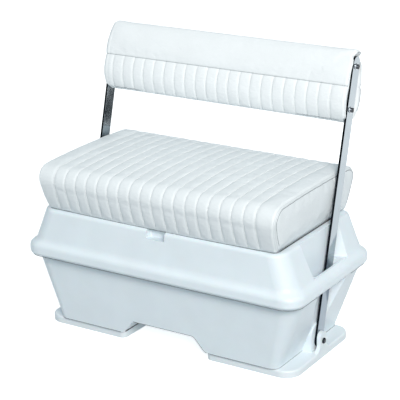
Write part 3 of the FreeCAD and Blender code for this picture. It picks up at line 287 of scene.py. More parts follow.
def machined_steel(name, colour, roughness, rim=None):
    """Turned or stamped stainless steel, dulled by handling; a bolt head's rim can get another
    colour than its face, by the way it faces: painted shade.
    """
    finish = Finish(name)
    lathe = finish.grain(0.0005, 2, 0.6)
    marks = finish.grain(0.006, 3, 0.6)
    worn = finish.ramp(marks, (0.45, 0.0), (0.7, 1.0))
    base = finish.tint(worn, colour, darker(colour, 0.78))
    if rim:
        # Painted shade: the rim is lighter than the face only because of the way each faces.
        base = finish.tint(finish.edgewise(), base, rim)
    return finish.done(
        Base_Color=base, Metallic=1.0, Roughness=roughness + 0.12 * worn + 0.05 * lathe,
        Normal=finish.bump(lathe, 0.00005))


def foam_rubber(name, colour):
    finish = Finish(name)
    pores = finish.cells(0.0016)
    deep = finish.ramp(pores, (0.1, 0.0), (0.5, 1.0))
    return finish.done(
        Base_Color=finish.tint(deep, darker(colour, 0.5), colour),
        Roughness=0.82 - 0.1 * deep, Normal=finish.bump(deep, 0.0003))


def board_plastic(name, colour):
    """Pressed board with a pebbled skin and flow marks along it."""
    finish = Finish(name)
    pebbles = finish.cells(0.0022, "SMOOTH_F1")
    flow = finish.grain(0.03, 4, 0.6, (0.25, 1, 1))
    return finish.done(
        Base_Color=finish.tint(flow, darker(colour, 0.86), colour),
        Roughness=0.5 + 0.15 * flow, Normal=finish.bump(pebbles, 0.0003, finish.bump(flow, 0.0006)))


def nylon():
    finish = Finish("nylon")
    fleck = finish.grain(0.002, 3)
    return finish.done(
        Base_Color=finish.tint(fleck, (0.74, 0.73, 0.68), (0.82, 0.81, 0.77)),
        Roughness=0.42 + 0.12 * fleck, Normal=finish.bump(fleck, 0.0001), Subsurface_Weight=0.1,
        Subsurface_Scale=0.003)


# The dark tint of the painted shade in the vinyl's seams, also the tone down in its grain.
VINYL_SEAM_SHADE_AND_GRAIN_TONE = (0.22, 0.25, 0.27)

shell = moulded_shell("moulded_shell", (0.795, 0.868, 0.910))
feet = moulded_shell("moulded_feet", (0.80, 0.86, 0.89), 0.42)
liner = moulded_shell("moulded_liner", (0.85, 0.885, 0.89), 0.28)
# The seat and the backrest wear one vinyl in lit and shaded copies: the seat's darker colour is
# painted shade, the backrest's lighter one painted light.
seat_vinyl = marine_vinyl("seat_vinyl", (0.845, 0.885, 0.90), VINYL_SEAM_SHADE_AND_GRAIN_TONE)
back_vinyl = marine_vinyl("back_vinyl", (0.915, 0.945, 0.955), VINYL_SEAM_SHADE_AND_GRAIN_TONE)
thread = sewing_thread()
bar = polished_bar()
# The bolt heads and the pivot bolts are painted near-black, a painted dark reflection; the bolt
# heads' faces are painted darker than their rims, a painted shade.
bolt_steel = machined_steel("bolt_steel", (0.022, 0.024, 0.03), 0.22, rim=(0.115, 0.125, 0.14))
pivot_steel = machined_steel("pivot_steel", (0.030, 0.034, 0.042), 0.24)
screw_steel = machined_steel("screw_steel", (0.66, 0.67, 0.69), 0.24)
hinge_steel = machined_steel("hinge_steel", (0.68, 0.69, 0.71), 0.28)
brass = machined_steel("insert_brass", (0.72, 0.56, 0.28), 0.30)
# The black foam finish dresses the opening gasket and also the dark cords of painted shade in the
# cushion's end joints and along the tunnel; the grey one is only painted shade, dark lines in
# joints and folds.
rubber_and_painted_shade = foam_rubber("foam_rubber", (0.085, 0.087, 0.09))
painted_shade_grey = foam_rubber("painted_shade_grey", (0.34, 0.37, 0.39))
seat_board = board_plastic("seat_board_skin", (0.56, 0.59, 0.60))
back_board = board_plastic("back_board_skin", (0.50, 0.53, 0.55))
bushing_nylon = nylon()

WEARS = {
    shell: ["lower_shell", "upper_shell"],
    feet: ["foot_plate_right", "foot_plate_left"],
    liner: ["liner_tub"],
    bar: ["arm_right", "arm_left"],
    bolt_steel: ["backrest_bolts"],
    pivot_steel: ["pivot_bolt_right", "pivot_bolt_left", "pivot_nut_right", "pivot_nut_left"],
    screw_steel: ["flange_screws", "foot_screws", "hinge_screws_shell", "hinge_screws_lid"],
    hinge_steel: ["hinge_leaf_shell", "hinge_leaf_lid", "hinge_pin", "backrest_washers"],
    brass: ["backrest_inserts"],
    rubber_and_painted_shade: ["opening_gasket"],
    seat_board: ["seat_board"],
    back_board: ["backrest_board"],
    bushing_nylon: ["pivot_bushing_right", "pivot_bushing_left"],
    seat_vinyl: ["seat_cushion"],
    back_vinyl: ["backrest_pad"],
}


def dress(piece, material):
    piece.data.materials.clear()
    piece.data.materials.append(material)


def along(points, count, last=()):
    """A run of points cut into count steps: equal ones, then the last, given as lengths."""
    points = [np.array(point, float) for point in points]
    lengths = [np.linalg.norm(b - a) for a, b in zip(points, points[1:])]
    gone = np.concatenate([[0], np.cumsum(lengths)])
    even = gone[-1] - sum(last)
    wanted = np.concatenate([np.linspace(0, even, count - len(last) + 1), even + np.cumsum(last)])
    return np.array([[np.interp(step, gone, [point[axis] for point in points]) for axis in (0, 1)]
                     for step in wanted])


def arc(centre, radius, start, end, steps=16):
    return [(centre[0] + radius * math.cos(angle), centre[1] + radius * math.sin(angle))
            for angle in np.linspace(start, end, steps)]


def arc_through(first, middle, last):
    """Points on the circle through three points, from the first to the last."""
    (ax, ay), (bx, by), (cx, cy) = first, middle, last
    twice = 2 * (ax * (by - cy) + bx * (cy - ay) + cx * (ay - by))
    a, b, c = ax * ax + ay * ay, bx * bx + by * by, cx * cx + cy * cy
    centre = ((a * (by - cy) + b * (cy - ay) + c * (ay - by)) / twice,
              (a * (cx - bx) + b * (ax - cx) + c * (bx - ax)) / twice)
    turns = [math.atan2(y - centre[1], x - centre[0]) for x, y in (first, middle, last)]
    for index in (1, 2):
        while turns[index] - turns[index - 1] > math.pi:
            turns[index] -= 2 * math.pi
        while turns[index] - turns[index - 1] < -math.pi:
            turns[index] += 2 * math.pi
    return arc(centre, math.dist(centre, first), turns[0], turns[2])


def smooth_step(value):
    value = min(1.0, max(0.0, value))
    return value * value * (3 - 2 * value)


def columns_between(seams, end, between, to_end):
    """Places along a cover: the seams, steps between them, and steps out to both ends."""
    places = [seams[0] - (end + seams[0]) * step for step in reversed(to_end)]
    for first, second in zip(seams, seams[1:]):
        places += [first + (second - first) * step for step in between]
    return places + [seams[-1]] + [seams[-1] + (end - seams[-1]) * step for step in to_end]


def front_sag(x):
    """How far the seat's lower front edge hangs out: not at its corners, fully in the middle."""
    return max(0.0, 1 - (x / SEAT_LOW_END) ** 2)


def seat_section(x):
    """The seat's outline across its depth, in four runs: underside, rear, top and front."""
    fullness = 1 - 0.5 * (x / SEAT_END) ** 2
    crown = SEAT_CROWN * fullness
    reach, height, radius = SEAT_REACH, SEAT_ROUND_HEIGHT, SEAT_ROUND
    slope = math.atan(2 * crown / reach)
    across, rise = reach - SEAT_LOW_FRONT, height - SEAT_LOW
    toward = math.atan2(across, rise) + math.asin(radius / math.hypot(across, rise))
    straight = math.sqrt(across ** 2 + rise ** 2 - radius ** 2)
    wall = []
    for step in np.linspace(0, 1, 9):
        bow = SEAT_WALL_BOW * math.sin(math.pi * step)
        wall.append((SEAT_LOW_FRONT + straight * step * math.sin(toward) + bow * math.cos(toward),
                     SEAT_LOW + straight * step * math.cos(toward) - bow * math.sin(toward)))
    split = math.radians(38)
    rear = wall + arc((reach, height), radius, -toward, split)[1:]
    shoulder = arc((reach, height), radius, split, math.pi / 2 - slope)
    top_z = height + radius * math.cos(slope)
    top_y = reach + radius * math.sin(slope)
    over = [(y, top_z + crown * (1 - (y / top_y) ** 2)) for y in np.linspace(top_y, -top_y, 25)]
    other = [(-y, z) for y, z in reversed(shoulder)]
    top = shoulder + over[1:] + other[1:]
    front = []
    for y, z in reversed(rear):
        drop = front_sag(x) * max(0.0, 1 - (z - SEAT_LOW) / SAG_HEIGHT)
        front.append((-y - SAG_OUT * drop, z - SAG_DOWN * drop))
    under = [front[-1], (SEAT_LOW_FRONT, SEAT_LOW)]
    return [along(under, SEAT_UNDER), along(rear, SEAT_RISE), along(top, SEAT_UNDER),
            along(front, SEAT_RISE)]


def back_section(x):
    """The backrest's outline, the same at every x, in four runs: foot, back, crest and front."""
    low, seam, top = BACK_LOW, BACK_SEAM, BACK_TOP
    foot, waist, crest = 0.022, 0.039, 0.012
    lower_belly, upper_belly = (0.0435, 0.6345), (0.0325, 0.7235)
    under = arc_through((-foot, low + BACK_TIP), (0, low), (foot, low + BACK_TIP))
    lower = arc_through((foot, low + BACK_TIP), lower_belly, (waist, seam))
    upper = arc_through((waist, seam), upper_belly, (crest, top - BACK_TIP))
    over = arc_through((crest, top - BACK_TIP), (0, top), (-crest, top - BACK_TIP))
    beside_seam = (0.0036, 0.0022, 0.0014)
    from_top = along(list(reversed(upper)), BACK_UPPER, beside_seam)[::-1]
    back = np.vstack([along(lower, BACK_LOWER, beside_seam), from_top[1:]])
    front = np.array([(-y, z) for y, z in reversed(back)])
    return [along(under, BACK_FOOT), back, along(over, BACK_FOOT), front]


class Cover:
    """A sewn cover: a skin of many runs across the piece, and a panel in each end.

    section(x) is its outline, channelled(index, y, z) says how fully it is sewn in channels there,
    end_at(side, y, z) how far out its end stands, and bulge(y, z) how much an end panel swells.
    """

    def __init__(self, places, section, seams, end, channelled, end_at, bulge, depth, puff,
                 joins=()):
        self.places = places
        self.points, self.faces, self.sewn, self.held = [], [], [], []
        half = (seams[1] - seams[0]) / 2
        self.counts = [len(run) - 1 for run in section(0)]
        self.loop = sum(self.counts)
        for x in places:
            outline = np.vstack([run[:-1] for run in section(x)])
            before, after = np.roll(outline, 1, 0), np.roll(outline, -1, 0)
            way = after - before
            way /= np.linalg.norm(way, axis=1)[:, None]
            outward = np.column_stack([way[:, 1], -way[:, 0]])
            away = min(abs(x - seam) for seam in seams)
            from_end = end - abs(x)
            edge = max(0.0, 1 - from_end / END_TURN)
            drawn = -END_DRAWN * (1 - math.sqrt(1 - edge * edge))
            dimple = smooth_step(1 - abs(from_end - END_ROW) / END_ROW_HALF) * END_ROW_DEEP
            groove = math.exp(-(away / GROOVE_HALF) ** GROOVE_SHARP)
            swell = puff * (1 - (1 - away / half) ** 2) - depth * groove
            for index, ((y, z), (out_y, out_z)) in enumerate(zip(outline, outward)):
                amount = channelled(index, y, z)
                amount *= smooth_step((from_end - CHANNEL_STOP) / CHANNEL_FADE)
                offset = drawn - dimple + amount * swell
                crease = amount * smooth_step(1 - away / CREASE_HALF)
                held = crease > HELD_ABOVE or from_end < AT_END
                for join in joins:
                    steps = abs(index - join)
                    near = JOIN_NEAR[steps] if steps < len(JOIN_NEAR) else 0.0
                    offset -= JOIN_DEEP * near
                    crease = max(crease, JOIN_CREASE * near * near)
                    held = held or near > HELD_ABOVE
                if from_end < AT_END:
                    crease = max(crease, END_CREASE)
                side, seam = (1, seams[-1]) if x > 0 else (-1, -seams[0])
                share = max(0.0, abs(x) - seam) / (end - seam)
                placed = x + side * share * (end_at(side, y, z) - end)
                self.points.append((placed, y + out_y * offset, z + out_z * offset))
                self.sewn.append(crease)
                self.held.append(float(held))
        last = len(places) - 1
        for column in range(last):
            here, beyond = column * self.loop, (column + 1) * self.loop
            for step in range(self.loop):
                onward = (step + 1) % self.loop
                self.faces.append((here + step, beyond + step, beyond + onward, here + onward))
        self.panel(0, -1, end_at, bulge)
        self.panel(last, 1, end_at, bulge)

    def panel(self, column, side, end_at, bulge):
        """An end panel: a grid between the four runs of the cover's first or last column."""
        low, rise = self.counts[0], self.counts[1]
        ring = [column * self.loop + step for step in range(self.loop)]
        bottom = ring[:low + 1]
        back = ring[low:low + rise + 1]
        top = list(reversed(ring[low + rise:2 * low + rise + 1]))
        front = list(reversed(ring[2 * low + rise:] + [ring[0]]))
        grid = {}
        for i in range(low + 1):
            grid[i, 0], grid[i, rise] = bottom[i], top[i]
        for j in range(rise + 1):
            grid[0, j], grid[low, j] = front[j], back[j]
        point = {key: np.array(self.points[index]) for key, index in grid.items()}
        for i in range(1, low):
            for j in range(1, rise):
                u, v = i / low, j / rise
                place = ((1 - v) * point[i, 0] + v * point[i, rise]
                         + (1 - u) * point[0, j] + u * point[low, j]
                         - (1 - u) * (1 - v) * point[0, 0] - u * (1 - v) * point[low, 0]
                         - (1 - u) * v * point[0, rise] - u * v * point[low, rise])
                inward = min(i, low - i, 3.0) / 3 * min(j, rise - j, 3.0) / 3
                swell = bulge(place[1], place[2]) * (1 - (1 - inward) ** 2)
                place[0] = side * (end_at(side, place[1], place[2]) + swell)
                grid[i, j] = len(self.points)
                self.points.append(tuple(place))
                self.sewn.append(0.0)
                self.held.append(0.0)
        for i in range(low):
            for j in range(rise):
                self.faces.append(
                    (grid[i, j], grid[i + 1, j], grid[i + 1, j + 1], grid[i, j + 1])[::side])

    def run_at(self, x, start, end):
        """The points of one run across the skin, nearest to x, from one loop step to another."""
        column = min(range(len(self.places)), key=lambda index: abs(self.places[index] - x))
        return [column * self.loop + step % self.loop for step in range(start, end + 1)]


def mesh_piece(name, points, faces, edges=()):
    mesh = bpy.data.meshes.new(name)
    mesh.from_pydata([tuple(point) for point in points], list(edges), list(faces))
    mesh.update()
    piece = bpy.data.objects.new(name, mesh)
    bpy.context.scene.collection.objects.link(piece)
    return piece


def face_outwards(piece):
    shape = bmesh.new()
    shape.from_mesh(piece.data)
    bmesh.ops.recalc_face_normals(shape, faces=shape.faces)
    if shape.calc_volume(signed=True) < 0:
        bmesh.ops.reverse_faces(shape, faces=shape.faces)
    shape.to_mesh(piece.data)
    shape.free()
    for polygon in piece.data.polygons:
        polygon.use_smooth = True


def settled(piece):
    """The piece as its modifiers leave it, made a plain mesh."""
    view = bpy.context.evaluated_depsgraph_get()
    mesh = bpy.data.meshes.new_from_object(piece.evaluated_get(view))
    piece.modifiers.clear()
    old = piece.data
    piece.data = mesh
    bpy.data.meshes.remove(old)
    mesh.name = piece.name
    return piece


def stuffed(cover, name, pressure, spare, limit):
    """Foam pushes the sewn cover out: cloth under pressure, held along its seams and underneath."""
    points = np.array(cover.points)
    trial = mesh_piece(name + "_trial", points, cover.faces)
    face_outwards(trial)
    group = trial.vertex_groups.new(name="held")
    for index, held in enumerate(cover.held):
        if held:
            group.add([index], held, "REPLACE")
    cloth = trial.modifiers.new("cover", "CLOTH")
    cloth.settings.quality = 6
    cloth.settings.mass = 0.3
    cloth.settings.tension_stiffness = 25
    cloth.settings.compression_stiffness = 25
    cloth.settings.shear_stiffness = 8
    cloth.settings.bending_stiffness = 0.6
    cloth.settings.use_pressure = True
    cloth.settings.uniform_pressure_force = pressure
    cloth.settings.shrink_min = -spare
    cloth.settings.vertex_group_mass = "held"
    cloth.settings.effector_weights.gravity = 0
    cloth.collision_settings.use_collision = False
    scene = bpy.context.scene
    for number in range(1, 21):
        scene.frame_set(number)
    view = bpy.context.evaluated_depsgraph_get()
    shaped = trial.evaluated_get(view).data
    moved = np.zeros(len(points) * 3)
    shaped.vertices.foreach_get("co", moved)
    step = moved.reshape(-1, 3) - points
    length = np.linalg.norm(step, axis=1)
    step *= (np.minimum(length, limit) / np.maximum(length, 1e-9))[:, None]
    scene.frame_set(1)
    bpy.data.objects.remove(trial)
    return points + step


def cushion(cover, name, material, points):
    piece = mesh_piece(name, points, cover.faces)
    sewn = piece.data.attributes.new("sewn", "FLOAT", "POINT")
    sewn.data.foreach_set("value", cover.sewn)
    face_outwards(piece)
    finer = piece.modifiers.new("finer", "SUBSURF")
    finer.levels = finer.render_levels = 1
    settled(piece)
    dress(piece, material)
    return piece


def rows_of_stitches():
    """Stitches along every run of edges: their pitch, length and thickness are its inputs."""
    tree = bpy.data.node_groups.new("stitches", "GeometryNodeTree")
    face = tree.interface
    face.new_socket("Runs", in_out="INPUT", socket_type="NodeSocketGeometry")
    for name in ("Pitch", "Length", "Thickness"):
        face.new_socket(name, in_out="INPUT", socket_type="NodeSocketFloat")
    face.new_socket("Thread", in_out="INPUT", socket_type="NodeSocketMaterial")
    face.new_socket("Stitches", in_out="OUTPUT", socket_type="NodeSocketGeometry")
    given = tree.nodes.new("NodeGroupInput").outputs

    def step(kind, links=None, values=None, settings=None):
        made = tree.nodes.new(kind)
        for name, value in (settings or {}).items():
            setattr(made, name, value)
        for name, socket in (links or {}).items():
            tree.links.new(socket, made.inputs[name])
        for name, value in (values or {}).items():
            made.inputs[name].default_value = value
        return made.outputs

    runs = step("GeometryNodeMeshToCurve", {"Mesh": given["Runs"]})
    spaced = step("GeometryNodeResampleCurve", {"Curve": runs[0], "Length": given["Pitch"]},
                  settings={"mode": "LENGTH"})
    ball = step("GeometryNodeMeshUVSphere", values={"Segments": 6, "Rings": 4, "Radius": 0.5})
    size = step("ShaderNodeCombineXYZ", {
        "X": given["Length"], "Y": given["Thickness"], "Z": given["Thickness"]})
    stitch = step("GeometryNodeTransform", {"Geometry": ball["Mesh"], "Scale": size[0]})
    way = step("GeometryNodeInputTangent")
    turn = step("FunctionNodeAlignRotationToVector", {"Vector": way[0]}, settings={"axis": "X"})
    uneven = step("FunctionNodeRandomValue", values={2: 0.86, 3: 1.1, "Seed": 7},
                  settings={"data_type": "FLOAT"})
    placed = step("GeometryNodeInstanceOnPoints", {
        "Points": spaced[0], "Instance": stitch[0], "Rotation": turn[0], "Scale": uneven[1]})
    real = step("GeometryNodeRealizeInstances", {"Geometry": placed[0]})
    soft = step("GeometryNodeSetShadeSmooth", {0: real[0]})
    dressed = step("GeometryNodeSetMaterial", {"Geometry": soft[0], "Material": given["Thread"]})
    tree.links.new(dressed[0], tree.nodes.new("NodeGroupOutput").inputs[0])
    return tree


stitch_rows = rows_of_stitches()


def on_surface(piece, points, lift):
    """Points moved onto the piece's surface, and lifted off it a little."""
    found = []
    for point in points:
        _, place, normal, _ = piece.closest_point_on_mesh(Vector(point))
        found.append(place + normal * lift)
    return found


def stitched(name, runs, pitch, length, thickness):
    points, edges = [], []
    for run in runs:
        start = len(points)
        points += run
        edges += [(start + step, start + step + 1) for step in range(len(run) - 1)]
    piece = mesh_piece(name, points, [], edges)
    threads = piece.modifiers.new("threads", "NODES")
    threads.node_group = stitch_rows
    sockets = {item.name: item.identifier for item in stitch_rows.interface.items_tree
               if item.in_out == "INPUT"}
    for label, value in (("Pitch", pitch), ("Length", length), ("Thickness", thickness),
                         ("Thread", thread)):
        threads[sockets[label]] = value
    return settled(piece)


def welt(name, runs, radius, material, closed=True):
    """A round cord sewn along each run."""
    line = bpy.data.curves.new(name, "CURVE")
    line.dimensions = "3D"
    line.bevel_depth = radius
    line.bevel_resolution = 3
    line.use_fill_caps = not closed
    for run in runs:
        spline = line.splines.new("POLY")
        spline.points.add(len(run) - 1)
        for point, place in zip(spline.points, run):
            point.co = (*place, 1)
        spline.use_cyclic_u = closed
    cord = bpy.data.objects.new(name, line)
    bpy.context.scene.collection.objects.link(cord)
    view = bpy.context.evaluated_depsgraph_get()
    mesh = bpy.data.meshes.new_from_object(cord.evaluated_get(view))
    bpy.data.objects.remove(cord)
    bpy.data.curves.remove(line)
    piece = bpy.data.objects.new(name, mesh)
    bpy.context.scene.collection.objects.link(piece)
    # Every point of a cord gets a sewn value of 0.1, which tints the vinyl cords slightly darker:
    # painted shade.
    sewn = mesh.attributes.new("sewn", "FLOAT", "POINT")
    sewn.data.foreach_set("value", [0.1] * len(mesh.vertices))
    for polygon in mesh.polygons:
        polygon.use_smooth = True
    dress(piece, material)
    return piece


def seat_end(side, y, z):
    """Both ends of the seat lean out alike; the cover leaves 1.5 mm for its swelling."""
    return SEAT_LOW_END + (z - SEAT_LOW) * SEAT_END_SLOPE - 0.0015


def seat_channelled(index, y, z):
    """How fully the channels are sewn in: not underneath, and fading at the lower edges."""
    if index <= SEAT_UNDER:
        return 0.0
    return smooth_step((z - SEAT_LOW - 0.001) / 0.012)


def seat_bulge(y, z):
    return SEAT_END_BULGE


def around_the_board(points):
    """Underneath, the cover turns up round the board and makes room for the hinge's leaf."""
    for number, (x, y, z) in enumerate(points):
        if z > SEAT_LOW + 0.004:
            continue
        inside = abs(x) < BOARD_HALF_LENGTH and abs(y) < BOARD_HALF_DEPTH
        over_leaf = y > HINGE_FRONT and abs(x) < HINGE_HALF
        if inside:
            points[number][2] = BOARD_UNDERSIDE
        elif over_leaf:
            points[number][2] = LEAF_TOP
    return points


def upholster_the_seat():
    cover = Cover(
        columns_between(SEAT_SEAMS, SEAT_END, BETWEEN_SEAMS, TO_SEAT_END), seat_section, SEAT_SEAMS,
        SEAT_END, seat_channelled, seat_end, seat_bulge, depth=0.0022, puff=0.0005)
    for number, (x, y, z) in enumerate(cover.points):
        if z < SEAT_LOW + 0.001:
            cover.held[number] = 1.0
    points = around_the_board(
        stuffed(cover, "seat_cover", pressure=3.0, spare=0.005, limit=0.0035))
    seat = cushion(cover, "seat_cover", seat_vinyl, points)

    def line(x, margin, lift):
        """A line across the seat near x, from its rear to its front lower edge, less a margin."""
        indices = cover.run_at(x, SEAT_UNDER + margin, SEAT_LOOP - margin)
        return on_surface(seat, [points[index] for index in indices], lift)

    sides = (-1, 1)
    channel_stitches = stitched(
        "seat_channel_stitches", [line(x, margin=3, lift=0.0005) for x in SEAT_SEAMS],
        **CHANNEL_STITCH, thickness=0.0017)
    end_stitches = stitched("seat_end_stitches", [
        line(side * (SEAT_END - END_ROW), margin=1, lift=0.0003) for side in sides],
        **ROW_STITCH, thickness=0.0010)
    end_seams = welt("seat_end_seams", [
        line(side * SEAT_END, margin=0, lift=-0.0004) for side in sides],
        0.0014, seat_vinyl, closed=False)
    # Thin dark-grey cords just inside both ends stand for the shade along the end seams: painted
    # shade.
    ring_x, middle_z, share_y, share_z = 0.374, 0.41, 0.984, 0.965
    inner_rings = [on_surface(seat, [
        (side * ring_x, y * share_y, middle_z + (z - middle_z) * share_z) for x, y, z in
        (points[index] for index in cover.run_at(side * SEAT_END, SEAT_UNDER + 2, SEAT_LOOP - 2))],
        0.0001) for side in sides]
    end_shade_lines = welt("seat_end_shade_lines", inner_rings, 0.0008, painted_shade_grey, closed=False)
    gussets = []
    for side in sides:
        high = [(side * seat_end(side, 0, z) + side * 0.003, GUSSET_SEAM + 0.02 * (z - 0.36), z)
                for z in np.linspace(0.356, 0.474, 24)]
        gussets.append(on_surface(seat, high, 0.0))
    gusset_seams = welt("seat_gusset_seams", gussets, 0.0011, seat_vinyl, closed=False)
    gusset_stitches = stitched("seat_gusset_stitches", [
        on_surface(seat, [(x, y - 0.006, z) for x, y, z in run], 0.0002) for run in gussets],
        **ROW_STITCH, thickness=0.0009)
    for piece in (channel_stitches, end_stitches, end_seams, end_shade_lines, gusset_seams,
                  gusset_stitches, seat):
        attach(piece, "lid")
    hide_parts("seat_cushion")


def back_channelled(index, y, z):
    """Only the front of the lower panel is sewn in channels."""
    if y > -0.004 or z > BACK_SEAM + 0.001:
        return 0.0
    return smooth_step((-y - 0.004) / 0.016)


def round_the_arm(y, z):
    """0 where an arm presses the end panel flat, 1 beside the arm and above its tip."""
    return max(smooth_step((abs(y) - ARM_HALF) / 0.007), smooth_step((z - ARM_TIP) / 0.012))


def back_end(side, y, z):
    """The end on the sitter's right is fuller in front of its arm, the other one behind it."""
    if side < 0:
        lip = 0.0125 * smooth_step((-y - 0.006) / 0.007) * smooth_step((z - 0.63) / 0.07)
        return BACK_END + max(0.0080 * round_the_arm(y, z), lip)
    return BACK_END + (0.0080 + 0.0050 * smooth_step((y + 0.004) / 0.012)) * round_the_arm(y, z)


def back_bulge(y, z):
    return BACK_END_BULGE * round_the_arm(y, z)


def leaned(points):
    """From upright, with the pivot at the origin, to where the arms hold it."""
    turned = np.array(points)
    y, z = turned[:, 1].copy(), turned[:, 2].copy()
    turned[:, 1] = y * math.cos(LEAN) + z * math.sin(LEAN)
    turned[:, 2] = z * math.cos(LEAN) - y * math.sin(LEAN) + PIVOT_HEIGHT
    return turned


def upholster_the_backrest():
    cover = Cover(
        columns_between(BACK_SEAMS, BACK_END, BETWEEN_SEAMS, TO_BACK_END), back_section, BACK_SEAMS,
        BACK_END, back_channelled, back_end, back_bulge, depth=0.0020, puff=0.0005,
        joins=(BACK_FOOT + BACK_LOWER, BACK_LOOP - BACK_LOWER))
    cover.points = [tuple(point) for point in leaned(cover.points)]
    points = stuffed(cover, "backrest_cover", pressure=2.0, spare=0.002, limit=0.0025)
    backrest = cushion(cover, "backrest_cover", back_vinyl, points)

    def line(x, first, last, lift):
        """A line round the backrest near x, from one step of its outline to another."""
        indices = cover.run_at(x, first, last)
        return on_surface(backrest, [points[index] for index in indices], lift)

    sides = (-1, 1)
    channel_stitches = stitched("backrest_channel_stitches", [
        line(x, BACK_LOOP - BACK_LOWER + 2, BACK_LOOP - 2, lift=0.0005) for x in BACK_SEAMS],
        **CHANNEL_STITCH, thickness=0.0016)
    end_welts = welt("backrest_end_welts", [
        line(side * BACK_END, 0, BACK_LOOP - 1, lift=0.0002) for side in sides],
        0.0017, back_vinyl)
    # Thin dark-grey cords just inside both ends stand for the shade beside the end welts: painted
    # shade.
    middle = Vector(leaned([(0.0, 0.0, 0.678)])[0])
    end_shade_lines = welt("backrest_end_shade_lines", [on_surface(backrest, [
        middle + (Vector(points[index]) - middle) * 0.965 + Vector((side * 0.018, 0, 0))
        for index in cover.run_at(side * BACK_END, 0, BACK_LOOP - 1)], 0.0001) for side in sides],
        0.0007, painted_shade_grey)
    end_stitches = stitched("backrest_end_stitches", [
        line(side * (BACK_END - END_ROW), 0, BACK_LOOP, lift=0.0002) for side in sides],
        **ROW_STITCH, thickness=0.0009)
    # In two places along its foot the vinyl is tucked under in a slightly wavy fold; a dark-grey
    # cord along each fold is its painted shade.
    folds = []
    for start, end in ((-0.352, -0.262), (0.236, 0.362)):
        fold = []
        for number, x in enumerate(np.linspace(start, end, 12)):
            place = Vector(points[cover.run_at(x, 0, 0)[0]])
            place.x = x
            fold.append(place + Vector((
                0, 0.0016 * math.sin(number * 2.4), -0.0006 + 0.0007 * math.sin(number * 1.7))))
        folds.append(on_surface(backrest, fold, 0.0002))
    tuck_shade_lines = welt("backrest_tuck_shade_lines", folds, 0.0009, painted_shade_grey, closed=False)
    for piece in (channel_stitches, end_welts, end_shade_lines, tuck_shade_lines, end_stitches, backrest):
        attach(piece, "backrest")
    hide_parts("backrest_pad")


def half_ring(half_x, half_y, corner, until, side, height, between=()):
    """Round the front (side -1) or the rear (1) of a rounded outline, as far as y = until."""
    first, second = (
        arc((end * (half_x - corner), corner - half_y), corner, start, start + math.pi / 2, 9)
        for end, start in ((-1, math.pi), (1, math.pi * 1.5)))
    run = [(-half_x, -until), *first, *((x, -half_y) for x in between), *second, (half_x, -until)]
    return [(x, -side * y, height) for x, y in run]


def end_ring(half_x, half_y, corner, inside, side, height):
    """Round one end of a rounded outline, from x = inside."""
    points = []
    for edge, start in ((-1, -math.pi / 2), (1, 0.0)):
        centre = (half_x - corner, edge * (half_y - corner))
        points += arc(centre, corner, start, start + math.pi / 2, 9)
    run = [(inside, -half_y), *points, (inside, half_y)]
    return [(side * x, y, height) for x, y in run]


def shade_line(name, runs, radius, material, body):
    """A dark cord laid into a joint, standing for the joint's shade: painted shade."""
    piece = welt(name, runs, radius, material, closed=False)
    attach(piece, body)


def paint_shade_into_the_joints():
    """Dark cords of painted shade: under the cushion, under the rim, on top of the feet, and along
    and round the tunnel.
    """
    sides = (-1, 1)
    cushion_x, cushion_front, shade_line_drop = 0.3545, 0.175, 0.0012
    front_edge = half_ring(
        half_x=cushion_x, half_y=0.1915, corner=0.012, until=cushion_front, side=-1, height=0.3510,
        between=np.linspace(-0.34, 0.34, 33))
    shade_line("cushion_front_shade_line", [[
        (x, y - SAG_OUT * front_sag(x), z - shade_line_drop * front_sag(x)) for x, y, z in front_edge]],
        0.0011, painted_shade_grey, "lid")
    shade_line("cushion_end_shade_line", [[
        (side * cushion_x, y, 0.3512) for y in (-cushion_front, 0.15)] for side in sides],
        0.0014, rubber_and_painted_shade, "lid")
    shade_line("rim_shade_line", [
        half_ring(half_x=0.422, half_y=0.219, corner=0.047, until=0.100, side=side, height=0.2125)
        for side in sides], 0.0010, painted_shade_grey, "box")
    shade_line("foot_shade_line", [
        end_ring(half_x=0.347, half_y=0.175, corner=0.024, inside=0.140, side=side, height=0.0205)
        for side in sides], 0.0012, painted_shade_grey, "box")
    tunnel_x, tunnel_half_depth = 0.1312, 0.164
    shade_line("tunnel_shade_line", [[
        (side * tunnel_x, y, 0.0212) for y in (-tunnel_half_depth, 0.0, tunnel_half_depth)]
        for side in sides], 0.0021, rubber_and_painted_shade, "box")
    foot_top, tub_front, tub_slope = 0.020, 0.1750, 0.107
    mouth = [(0.1353, 0.0209), (0.1303, 0.0230), (0.1261, 0.0263), (0.1244, 0.0282),
             (0.1128, 0.0425), (0.1012, 0.0568), (0.0986, 0.0593), (0.0949, 0.0612),
             (0.0903, 0.0620), (-0.0949, 0.0620)]
    shade_line("tunnel_mouth_shade_line", [[
        (x, side * (tub_front + tub_slope * (z - foot_top)), z) for x, z in mouth]
        for side in sides], 0.0007, rubber_and_painted_shade, "box")


def look_as_the_photograph_does():
    camera = bpy.data.cameras.new("seat_box_view")
    camera.lens, camera.sensor_width, camera.clip_end = 132.797, 36, 40
    holder = bpy.data.objects.new("seat_box_view", camera)
    right = Vector((0.85088585, 0.52523052, -0.01123207))
    upward = Vector((-0.16185116, 0.28242306, 0.94553764))
    backward = Vector((0.49979742, -0.80272668, 0.32531895))
    turn = Matrix((right, upward, backward)).transposed().to_4x4()
    holder.matrix_world = Matrix.Translation((2.01425, -3.21569, 1.68085)) @ turn
    bpy.context.scene.collection.objects.link(holder)
    bpy.context.scene.camera = holder


